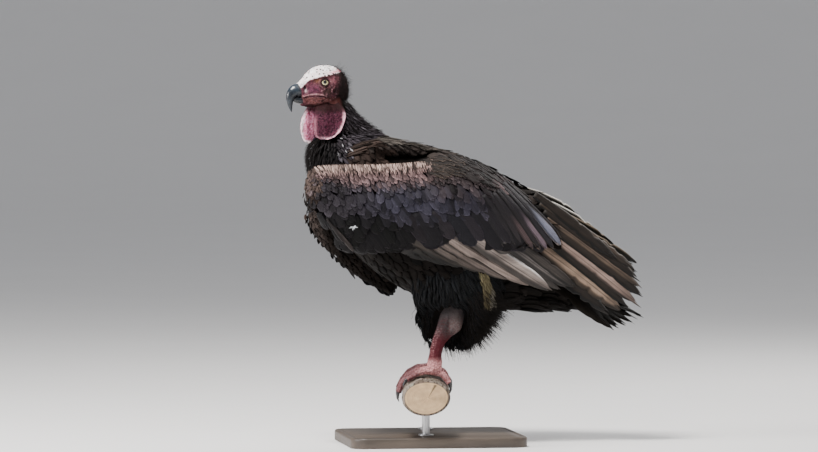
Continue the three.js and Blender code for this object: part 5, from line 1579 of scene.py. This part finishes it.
    p, n = scatter(CORE_V, FORM_Q, CORE_N, gap, keep)
    col, row = sheet(p)
    fr_c = np.interp(row, T_[:8, 2], T_[:8, 0])
    rim = smooth(15, 3, col - fr_c) * smooth(200, 212, row + (20 if side < 0 else 0))
    d = np.stack([1.02 + 0.12 * (1 - rim), 0 * col, -0.84 * np.ones(len(p))], 1) + 0.10 * RNG.normal(0, 1, p.shape)
    d = unit(d - n * (d * n).sum(1, keepdims=True))
    near_rim = smooth(15, 3, col - fr_c)
    L = RNG.uniform(14, 21, len(p)) * (1 - 0.48 * near_rim)
    P, N = trail(p, n, d, L, 6, -0.8, RNG.uniform(1.0, 2.2, len(p)) * (1 - 0.35 * near_rim))
    rim = rim * smooth(252, 228, row)
    tone = np.array([0.0058, 0.0042, 0.0034]) * (1 - rim[:, None]) + np.array([0.035, 0.0265, 0.0235]) * rim[:, None]
    tone = tone * np.clip(jitter(len(p), 0.35), 0.3, 2)
    coat.add(P, N, RNG.uniform(3.8, 6.0, len(p)) * (1 - 0.35 * near_rim), tone, "round", 6, 5, body_uv(p), cup=0.15, th=0.35, fray=0.8)
    coat.done()


# --- flight feathers: straight vanes from root to tip, inner ones over the outer
def vanes(coat, P, N, W, tone, v, fray=4.0, nick=0.35, uv0=None, cup=0.10, C=13, asym=0.0):
    coat.add(P, N, W, tone, "flight", P.shape[1], C, uv0, cup=cup, th=0.7, v=v, fray=fray, nick=nick, asym=asym, patch=0.055, tipshift=0.35)


def vane_paint(base, sgn, edge, band=(-1.2, 0.5), dark=0.85, tipdark=0.6, bare=0.06):
    """a bright band between two places across the vane, dark beside it, partly the inner web's own dark and partly
    painted shadow of the feather above, and a pale thread at the upper edge, a painted highlight where light catches it
    """
    base, edge = np.asarray(base, float), np.asarray(edge, float)
    n = len(base)
    band = np.broadcast_to(np.asarray(band, float), (n, 2))

    def paint(U, vv):
        x = U * sgn
        i = np.arange(n)[:, None, None]
        on = smooth(-0.12, 0.12, x - band[:, 0][:, None, None]) * smooth(0.14, -0.14, x - band[:, 1][:, None, None])
        # painted highlight: the pale thread along the upper edge
        rim = smooth(-0.76, -0.95, x) * smooth(0.05, 0.2, vv)
        st = 1 + 0.22 * np.sin(U * 23 + 3 * np.sin(vv * 5 + i) + i * 1.7) + 0.16 * np.sin(U * 41 + i * 0.7) + 0.12 * np.sin(vv * 31 + U * 4 + i * 2.3)
        c = base[:, None, None] * (st * (1 - dark * (1 - on)) * (1 - tipdark * smooth(0.70, 1.0, vv)))[..., None]
        rim = rim * smooth(1.0, 0.85, vv)
        return c * (1 - rim[..., None]) + edge[:, None, None] * rim[..., None]

    return paint


# painted light in this table: the edge colour is a painted highlight along each vane's upper edge, and the first three
# tones are painted near black for the shade low under the wing
SEC = [  # root column, row, tip column, row, half width, tone, edge, bright band, layer
    (352, 226, 432, 259, 9, (0.006, 0.005, 0.0045), (0.012, 0.010, 0.008), (-1.2, 1.2), -5), (366, 225, 452, 264, 9, (0.013, 0.011, 0.009), (0.03, 0.025, 0.02), (-1.2, 0.6), -4), (382, 224, 470, 268.5, 9, (0.030, 0.024, 0.020), (0.05, 0.042, 0.035), (-1.2, 0.6), -3),
    (396, 223, 487, 273, 9, (0.085, 0.066, 0.056), (0.10, 0.085, 0.075), (-0.1, 0.75), -2), (410, 222, 506, 278.5, 9.5, (0.135, 0.104, 0.090), (0.16, 0.14, 0.125), (0.0, 0.72), -1), (424, 221, 528, 284, 10.5, (0.235, 0.182, 0.158), (0.30, 0.26, 0.23), (-0.08, 0.88), 0),
    (446, 221, 548.5, 289, 11.5, (0.250, 0.205, 0.184), (0.92, 0.90, 0.89), (-1.2, 0.26), 2.0), (474, 228, 558, 288.5, 9, (0.052, 0.044, 0.040), (0.10, 0.09, 0.08), (-0.3, 0.7), -0.9), (490, 231, 566, 286, 8, (0.098, 0.085, 0.080), (0.14, 0.125, 0.12), (-0.8, 0.3), 0.2), (508, 236, 573, 286, 8, (0.040, 0.033, 0.029), (0.07, 0.06, 0.055), (-0.7, 0.3), 1.0),
]


def sec_y(c, r):
    a = 100 - 0.192 * (c - 345)
    b = 105 - 0.262 * (c - 410)
    return a + (r - 225) / 52 * (b - a)


# the near-black vanes between the tan ones (last column, brightness) are partly dark inner webs and partly painted
# shadow
PRIM = {
    -1: [(604, 309, 540, 263, 12, 0.07), (616.5, 305.5, 549, 254, 17, 1.20), (626, 305, 553, 246, 9.5, 0.07), (634, 301, 555, 240, 12, 0.85), (640.5, 294.5, 556, 232, 11, 0.09), (636.5, 285, 554, 224, 11, 0.50), (634, 276, 551, 216, 11, 0.10), (630, 266.5, 547, 208, 11, 0.26), (612, 256, 541, 200, 11, 0.09)],
    1: [(624, 302, 556, 258, 14, 0.2), (632, 290, 560, 247, 13.5, 0.2), (634, 281, 556, 238, 13.5, 0.25), (636, 271, 553, 229, 13.5, 0.3), (633, 262, 550, 220, 13.5, 0.3), (613, 246, 545, 210, 13.5, 0.18), (596, 233, 536, 201, 13.5, 0.14), (578, 217, 524, 192, 13.5, 0.12)],
}


def prim_y(c, r):
    a = 41 + (r - 203) * 0.328
    b = 22 + (r - 256) * 0.618
    return a + (c - 550) / 82 * (b - a)


def flight(side):
    name = "left" if side < 0 else "right"
    sgn = 1 if side < 0 else -1
    S = 34
    v = 1 - (1 - np.linspace(0, 1, S)) ** 1.25
    coat = Coat(f"primaries_{name}", M_FLIGHT, "plumage_brown", [f"wing_{name}_primaries"])
    T = np.array(PRIM[side], float)
    n = len(T)
    back = 9 / np.hypot(T[:, 0] - T[:, 2], T[:, 1] - T[:, 3])
    T[:, 2], T[:, 3] = T[:, 2] - (T[:, 0] - T[:, 2]) * back, T[:, 3] - (T[:, 1] - T[:, 3]) * back
    c = T[:, 2][:, None] * (1 - v) + T[:, 0][:, None] * v
    r = T[:, 3][:, None] * (1 - v) + T[:, 1][:, None] * v - 1.2 * 4 * v * (1 - v)
    y = prim_y(c, r)
    lay = (np.arange(n) - n / 2)[:, None] * 1.3 * (0.3 + 0.7 * v)
    P = at(c, r, side * (y + lay))
    D = unit(P[:, -1] - P[:, 0])
    N = np.array([0, side, 0.42])[None]
    N = unit(N - D * (N * D).sum(1, keepdims=True))
    tan = np.array([0.176, 0.124, 0.091])
    base = tan * T[:, 5:6]
    if side < 0:
        base[3] = (0.200, 0.140, 0.118)
        edge = base * 1.35 + 0.010
        edge[5] = (0.46, 0.38, 0.31)
        edge[6] = (0.26, 0.20, 0.15)
        paint = vane_paint(base, sgn, edge, (-1.2, 0.45), dark=0.85)
    else:
        # painted shade and highlight: the far wing's vanes are painted much darker and greener than the near wing's,
        # and the last two get near-white upper edges for the light catching them
        edge = np.tile([0.24, 0.19, 0.145], (n, 1))
        edge[-2:] = (0.80, 0.76, 0.70)
        paint = vane_paint(base * np.array([0.24, 0.27, 0.19]), sgn, edge, (-1.2, 1.2), dark=0.2)
    uv = np.stack([0.06 + 0.10 * np.arange(n), np.full(n, 0.5)], 1)
    vanes(coat, P, np.broadcast_to(N[:, None], P.shape), T[:, 4], paint, v, uv0=uv, fray=6.0, nick=0.45)
    coat.done()

    coat = Coat(f"secondaries_{name}", M_FLIGHT, "plumage_brown", [f"wing_{name}_secondaries"])
    T = np.array([t[:5] for t in SEC], float)
    n = len(T)
    drop = 0 if side < 0 else -4
    c = T[:, 0][:, None] * (1 - v) + T[:, 2][:, None] * v
    r = (T[:, 1] + drop)[:, None] * (1 - v) + (T[:, 3] + drop)[:, None] * v + 0.8 * 4 * v * (1 - v)
    over = smooth(7, -1, r - edges(c)[1].reshape(c.shape))
    sh = np.maximum(share(c.ravel(), r.ravel()).reshape(c.shape), -1.0)
    out = side * arm_point(side, c, sh)[..., 1] - 4.5 + 5.4 * smooth(230, 237, r)
    y = sec_y(c, r) * (1 - over) + out * over
    lay = np.array([t[8] for t in SEC], float)[:, None] * (1.25 * (0.4 + 0.6 * v) * (1 - over) + 0.30 * over) - 1.0 * (1 - over)
    P = at(c, r, side * (y + lay))
    D = unit(np.gradient(P, axis=1))
    N = np.array([0.05, side, 0.16])[None, None] * (1 - over[..., None]) + arm_normal(side, c, sh) * over[..., None]
    N = unit(N - D * (N * D).sum(-1, keepdims=True))
    base = np.array([t[5] for t in SEC])
    edge = np.array([t[6] for t in SEC])
    # painted shade: the far wing's secondaries and their edges are painted at half the near wing's tone
    if side > 0:
        base, edge = base * 0.5, edge * 0.5
    uv = np.stack([0.06 + 0.09 * np.arange(n), np.full(n, 0.5)], 1)
    vanes(coat, P, N, T[:, 4] * 1.25, vane_paint(base, sgn, edge, [t[7] for t in SEC], dark=0.86, tipdark=0.5), v, uv0=uv, fray=3.0, nick=0.25)
    coat.done()


def tail_coat():
    coat = Coat("tail_feathers", M_TAIL, "plumage_black", ["tail"])
    k = np.arange(12) - 5.5
    a = np.abs(k)
    S = 34
    v = 1 - (1 - np.linspace(0, 1, S)) ** 1.25
    A = at(528, 265 - 0.55 * a, 4.5 * k)
    B = at(638 - 5.2 * a, 311 + 2.8 * a, 9.6 * k)
    base = np.tile(np.array([0.0062, 0.0048, 0.0036]), (12, 1)) * jitter(12, 0.15)
    for i in range(12):
        face = unit(np.array([-0.35, np.sign(k[i]) * min(0.25 + 0.09 * a[i], 0.75), 1]))
        P = (A[i] * (1 - v)[:, None] + B[i] * v[:, None])[None]
        D = unit(B[i] - A[i])
        N = unit(face - D * (face @ D))
        P = P + N * (2.0 * 4 * v * (1 - v))[None, :, None]
        W = np.array([(36 - 1.8 * a[i]) * 0.5])
        coat.add(P, np.broadcast_to(N, P.shape), W, base[i : i + 1], "tail", S, 13, np.array([[0.06 + 0.075 * i, 0.5]]), cup=0.12, th=0.7, v=v, fray=9.0, nick=0.6, patch=0.055, tipshift=0.5)
    coat.done()
    # coverts above and below the tail
    coat = Coat("tail_coverts", M_BODY, "plumage_black", ())
    for up in (1, -1):
        m = 250
        c = RNG.uniform(513, 580, m)
        half = np.interp(c, [515, 540, 564, 586], [54, 41, 28, 12])
        q = RNG.uniform(-1, 1, m)
        y = half * np.sin(q * np.pi / 2)
        top = np.interp(c, [515, 540, 564, 586], [187, 206, 232, 268])
        bot = np.interp(c, [515, 540, 564, 586], [312, 311, 308, 292])
        mid = (top + bot) / 2
        r = mid + ((top if up > 0 else bot) - mid) * np.cos(q * np.pi / 2) * 0.97
        p = at(c, r, y)
        n_ = unit(np.stack([np.full(m, 0.1 * up), np.sin(q * np.pi / 2), up * np.cos(q * np.pi / 2) + 0.02], 1))
        d = np.tile([1, 0, -0.7 if up > 0 else 0.02], (m, 1)) + 0.08 * RNG.normal(0, 1, (m, 3))
        d = unit(d - n_ * (d * n_).sum(1, keepdims=True))
        L = RNG.uniform(30, 46, m)
        v7 = VSTEP[7]
        P = p[:, None] + d[:, None] * (L[:, None] * v7[None])[..., None] + n_[:, None] * (RNG.uniform(-0.5, 1.5, m)[:, None] + 1.0 * v7[None])[..., None]
        tone = np.tile([0.0042, 0.0033, 0.0027] if up < 0 else [0.0110, 0.0088, 0.0078], (m, 1)) * jitter(m, 0.25)
        coat.add(P, np.broadcast_to(n_[:, None], P.shape), RNG.uniform(9, 13, m), tone, "round", 7, 7, body_uv(p), cup=0.22, th=0.45, v=v7, fray=1.2)
    coat.done()


# --- bristles and down of the head
def head_hair(hv, hq):
    coat = Coat("head_down", M_DOWN, "plumage_black", ())
    N = normals(hv, hq)

    def grow(density, spacing, direction, Lr, Wr, lift, tone, S=4, tries=2):
        p, n = scatter(hv, hq, N, lambda c: np.full(len(c), spacing), density, tries=tries)
        f, l, z = to_head(p)
        d = np.asarray(direction)[None] + 0.38 * RNG.normal(0, 1, p.shape)
        d = unit(d - n * (d * n).sum(1, keepdims=True))
        L = RNG.uniform(*Lr, len(p))
        v = np.linspace(0, 1, S)
        up = RNG.uniform(*lift, len(p))
        P = p[:, None] - n[:, None] * 0.3 + (d[:, None] * v[None, :, None] + n[:, None] * (up[:, None] * v[None] ** 0.85)[..., None]) * L[:, None, None]
        uv = np.stack([(np.arctan2(l, z + 9) / (2 * np.pi)) + 0.5, (f + 60) / 110], 1)
        coat.add(P, np.broadcast_to(n[:, None], P.shape), RNG.uniform(*Wr, len(p)), np.tile(tone, (len(p), 1)) * jitter(len(p), 0.4), "hair", S, 3, uv, th=0.12)

    down = -HF * 0.55 - HU * 0.85

    def back(c, n):
        f, l, z = to_head(c)
        q = f + 2.5 * noise(c, 6, 5)
        return np.clip(smooth(-25, -37, q) + smooth(-17, -28, q) * smooth(8, -8, z) * 0.8, 0, 1)

    def cheek(c, n):
        f, l, z = to_head(c)
        return 0.16 * smooth(6, -8, f) * smooth(0, -10, z) * smooth(-38, -30, z)

    def crown(c, n):
        f, l, z = to_head(c)
        return 0.05 * smooth(4, 12, z) * smooth(30, 20, f) + 0.10 * smooth(8, 16, z) * smooth(-12, -26, f)

    grow(back, 1.15, down, (2.6, 6.2), (0.17, 0.32), (0.30, 0.85), [0.016, 0.0125, 0.012])
    grow(lambda c, n: 0.5 * back(c, n), 2.6, -HF * 0.9 - HU * 0.25, (4.5, 8.0), (0.10, 0.17), (0.7, 1.7), [0.014, 0.011, 0.011])
    grow(cheek, 1.3, down, (2.0, 4.4), (0.10, 0.17), (0.25, 0.6), [0.012, 0.009, 0.009])
    grow(crown, 1.5, down, (1.4, 2.8), (0.12, 0.20), (0.6, 1.3), [0.012, 0.009, 0.009])
    coat.done()


neck_coat()
trunk_coat()
thigh_coat()
for sd in (-1, 1):
    wing_coat(sd)
    flight(sd)
tail_coat()
head_hair(parts[1][0], parts[1][1])

# ------------------------------------------------------------------ perch and stand
PY = math.radians(8)
ALONG = np.array([math.sin(PY), math.cos(PY), 0])
ACROSS = np.array([math.cos(PY), -math.sin(PY), 0])
lo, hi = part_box("perch_branch")
PMID = (np.array(lo) + np.array(hi)) / 2 / MM


def perch():
    n, m = 300, 200
    q = np.linspace(-0.5, 0.5, n)
    t = q + 0.5
    a = 2 * np.pi * np.arange(m) / m
    T, A = np.meshgrid(t, a, indexing="ij")
    Pm = at(434.5, 369, -47)
    foot_l = np.array([Pm[0], -47, 116])
    foot_r = np.array([Pm[0] + 14, 47, 116])
    mid = (foot_l + foot_r) / 2 - ACROSS * 15
    mid[2] = 116 - 29
    lump = 0.5 * np.sin(2 * A + 4 * T) + 0.3 * np.sin(3 * A - 9 * T) + 1.2 * (2 * T - 1) ** 2 - 0.5

    def ring(r):
        return mid + ALONG * ((T - 0.5) * 300)[..., None] + ACROSS * ((40 + r) * np.cos(A))[..., None] + np.array([0, 0, 1.0]) * ((29 + r) * np.sin(A) + 2 * np.sin(2.2 * T + 0.4) - 1.9)[..., None]

    base = ring(lump - 0.4)
    # plates of bark, longer along the branch
    loc = np.stack([np.cos(A) * 40 * 1.6, (T - 0.5) * 300 * 0.55, np.sin(A) * 29 * 1.6], -1).reshape(-1, 3)
    loc = loc + 3.0 * np.stack([fbm(loc, 16, 1), fbm(loc, 16, 2), fbm(loc, 16, 3)], 1)
    b1, b2 = cells(loc, 12.5, 71)
    crack = smooth(0.0, 0.22, b2 - b1)
    h = 1.5 * crack - 1.5 + 0.7 * fbm(loc, 7, 75) + 0.35 * fbm(loc, 2.6, 77)
    # bark worn smooth under the feet
    top = smooth(0.55, 0.95, np.sin(A)).ravel() * smooth(85, 60, np.abs((T - 0.5) * 300)).ravel()
    h = h * (1 - 0.55 * top)
    endc = smooth(0.5, 0.495, np.abs(T - 0.5)).ravel()
    out = (ring(lump - 0.2 + h.reshape(T.shape) * endc.reshape(T.shape)))
    V, Q = loft(out)
    c1, c2, c3 = np.array([0.115, 0.085, 0.066]), np.array([0.26, 0.215, 0.18]), np.array([0.030, 0.021, 0.016])
    mixn = smooth(-0.4, 0.6, fbm(loc, 20, 81))[:, None]
    col = c1 * (1 - mixn) + c2 * mixn
    col = c3 * (1 - crack[:, None]) + col * crack[:, None]
    lich = (smooth(0.30, 0.55, fbm(loc, 13, 85)) * 0.5 * crack)[:, None]
    col = col * (1 - lich) + np.array([0.30, 0.32, 0.25]) * lich
    make("perch_bark", V, Q, colors={"tone": np.clip(col, 0, 1)}, mats=[M_BARK], replaces=["perch_branch"])
    # sawn ends with rings
    for e, nm in ((0, "a"), (-1, "b")):
        rim = out[e]
        k = 34
        cen = rim.mean(0) + ACROSS * 3
        w = np.linspace(1.0, 0.0, k) ** 0.9
        sgn = -1 if e == 0 else 1
        rr = cen + (rim - cen)[None] * (w * 0.985)[:, None, None]
        ringn = np.sin(w * 95 + 1.4 * noise(rr[:, :, :] * 0.05, 1.0, 9).mean(1))
        off = np.where(w > 0.93, -0.4, 0.25 * ringn + 0.4)
        rr = rr + ALONG * (sgn * off)[:, None, None]
        back = cen + (rim - cen)[None] * 0.98 - ALONG * sgn * 3.0
        P = np.concatenate([back, rr[:-1], (cen + (rim - cen) * 0.004 + ALONG * sgn * 0.4)[None]])
        V, Q = loft(P)
        wv = np.concatenate([[1.0], w[:-1], [0.0]])
        light, dk, bk = np.array([0.52, 0.37, 0.22]), np.array([0.30, 0.18, 0.095]), np.array([0.085, 0.06, 0.045])
        r_ = (0.5 + 0.5 * np.sin(wv * 95))[:, None] ** 2
        cc = light * (1 - r_ * 0.6) + dk * r_ * 0.6
        cc = np.where(wv[:, None] > 0.90, bk, cc)
        cc = np.repeat(cc, m, 0)
        ang = np.tile(a, len(wv))
        wr = np.repeat(wv, m)
        check = smooth(0.05, 0.0, np.abs(np.sin((ang - 1.1) / 2)) - 0.012 * wr) * (wr < 0.86)
        cc = cc * (1 - 0.75 * check[:, None])
        cc *= 1 + 0.12 * np.repeat(noise(np.stack([np.cos(a) * 4, np.sin(a) * 4, a * 0], 1), 1.0, 3)[None], len(wv), 0).ravel()[:, None]
        make(f"perch_end_{nm}", V, Q, colors={"tone": np.clip(cc, 0, 1)}, mats=[M_BARK])


perch()


def plate():
    """board with rounded corners and a softened edge, low steel feet of the rods let into it"""
    hx, hy, r, z1 = 150, 130, 26, 18.0
    prof = [(0.0, 1.2), (0.0, 0.0), (0, 0)]
    m = 160
    a = 2 * np.pi * np.arange(m) / m

    def outl(inset, z):
        rr = r - inset
        cx, cy = hx - r, hy - r
        c, s = np.cos(a), np.sin(a)
        return np.stack([np.sign(c) * cx + rr * c, np.sign(s) * cy + rr * s, np.full(m, z)], 1)

    rings = [outl(2.0, 0.0), outl(0.7, 0.3), outl(0.0, 1.2)]
    for k in np.linspace(0, 1, 7):
        rings.append(outl(4.0 * (1 - math.cos(k * math.pi / 2)), z1 - 4.0 * (1 - math.sin(k * math.pi / 2))))
    rings.append(outl(9.0, z1))
    rings.append(outl(9.6, z1 - 0.7))
    rings.append(outl(10.6, z1 - 0.7))
    rings.append(outl(11.2, z1))
    P = np.array(rings)
    V, Q = loft(P)
    make("stand_base_board", V, Q, mats=[M_BOARD], replaces=["stand_base"], shade=False)
    bm_ = bpy.data.objects["stand_base_board"].data
    bm_.polygons.foreach_set("use_smooth", np.full(len(bm_.polygons), True))
    for nd in ("stand_rod_left", "stand_rod_right"):
        l, h = (np.array(x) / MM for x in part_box(nd))
        c = (l + h) / 2
        zs = [(l[2], 12.5), (l[2] + 0.3, 13), (l[2] + 2.2, 13), (l[2] + 2.9, 12.4), (l[2] + 3.1, 7.2), (l[2] + 3.3, 6.5), (h[2], 6.5)]
        b = 2 * np.pi * np.arange(64) / 64
        P = np.array([np.stack([c[0] + q * np.cos(b), c[1] + q * np.sin(b), np.full(64, z)], 1) for z, q in zs])
        V, Q = loft(P)
        make(nd + "_steel", V, Q, mats=[M_STEEL], replaces=[nd], shade=False)


plate()

# ------------------------------------------------------------------ floor, light, camera
me = bpy.data.meshes.new("floor")
prof = [(k * 1.5, 0.0) for k in range(1, 9)] + [(12 + 12 * math.sin(t), 12 - 12 * math.cos(t)) for t in np.linspace(0.06, math.pi / 2, 40)] + [(24, 16.0)]
NB = 180
verts = [(0, 0, 0)] + [(r * math.cos(2 * math.pi * j / NB), r * math.sin(2 * math.pi * j / NB), z) for r, z in prof for j in range(NB)]
faces = [(0, 1 + j, 1 + (j + 1) % NB) for j in range(NB)]
faces += [(1 + k * NB + j, 1 + (k + 1) * NB + j, 1 + (k + 1) * NB + (j + 1) % NB, 1 + k * NB + (j + 1) % NB) for k in range(len(prof) - 1) for j in range(NB)]
me.from_pydata(verts, [], faces)
floor = bpy.data.objects.new("floor", me)
bpy.context.scene.collection.objects.link(floor)
for p in me.polygons:
    p.use_smooth = True
fm, nt, b = new_mat("floor")
g = G(nt)
g.put(b.inputs["Base Color"], g.mix(g.noise(g.coord(), 3.0, 3.0), (0.84, 0.83, 0.825), (0.87, 0.86, 0.855)))
b.inputs["Roughness"].default_value = 0.85
me.materials.append(fm)

w = bpy.data.worlds.new("soft")
bpy.context.scene.world = w
w.use_nodes = True
w.node_tree.nodes["Background"].inputs[0].default_value = (0.86, 0.88, 0.92, 1)
w.node_tree.nodes["Background"].inputs[1].default_value = 0.50


def area(name, loc, target, size, power, color=(1, 1, 1)):
    li = bpy.data.lights.new(name, "AREA")
    li.shape = "RECTANGLE"
    li.size, li.size_y = size
    li.energy = power
    li.color = color
    ob = bpy.data.objects.new(name, li)
    bpy.context.scene.collection.objects.link(ob)
    ob.location = loc
    ob.rotation_mode = "QUATERNION"
    ob.rotation_quaternion = (Vector(target) - Vector(loc)).to_track_quat("-Z", "Y")


area("key", (-0.85, -1.1, 3.0), (0, 0, 0.4), (0.8, 0.8), 166, (1.0, 0.97, 0.93))
area("front", (-2.9, -0.75, 1.25), (-0.15, 0, 0.5), (1.0, 1.0), 96, (1.0, 0.99, 0.98))
area("rim", (1.8, 1.7, 2.1), (0.05, 0, 0.35), (1.2, 1.2), 46, (1.0, 0.98, 0.95))

AZ, EL = math.radians(-8), math.radians(2)
right = Vector((math.cos(AZ), math.sin(AZ), 0))
fw = Vector((-math.sin(AZ) * math.cos(EL), math.cos(AZ) * math.cos(EL), -math.sin(EL)))
up = right.cross(fw)
target = Vector((0, 0, 0.116)) + right * -0.0357 + up * 0.2533
cam = bpy.data.cameras.new("camera")
cam.sensor_width = 36
cam.lens = 36 * 10 / 1.3906
cam.clip_start, cam.clip_end = 0.5, 60
co = bpy.data.objects.new("camera", cam)
bpy.context.scene.collection.objects.link(co)
co.location = target - fw * 10
co.rotation_mode = "QUATERNION"
co.rotation_quaternion = fw.to_track_quat("-Z", "Y")
bpy.context.scene.camera = co
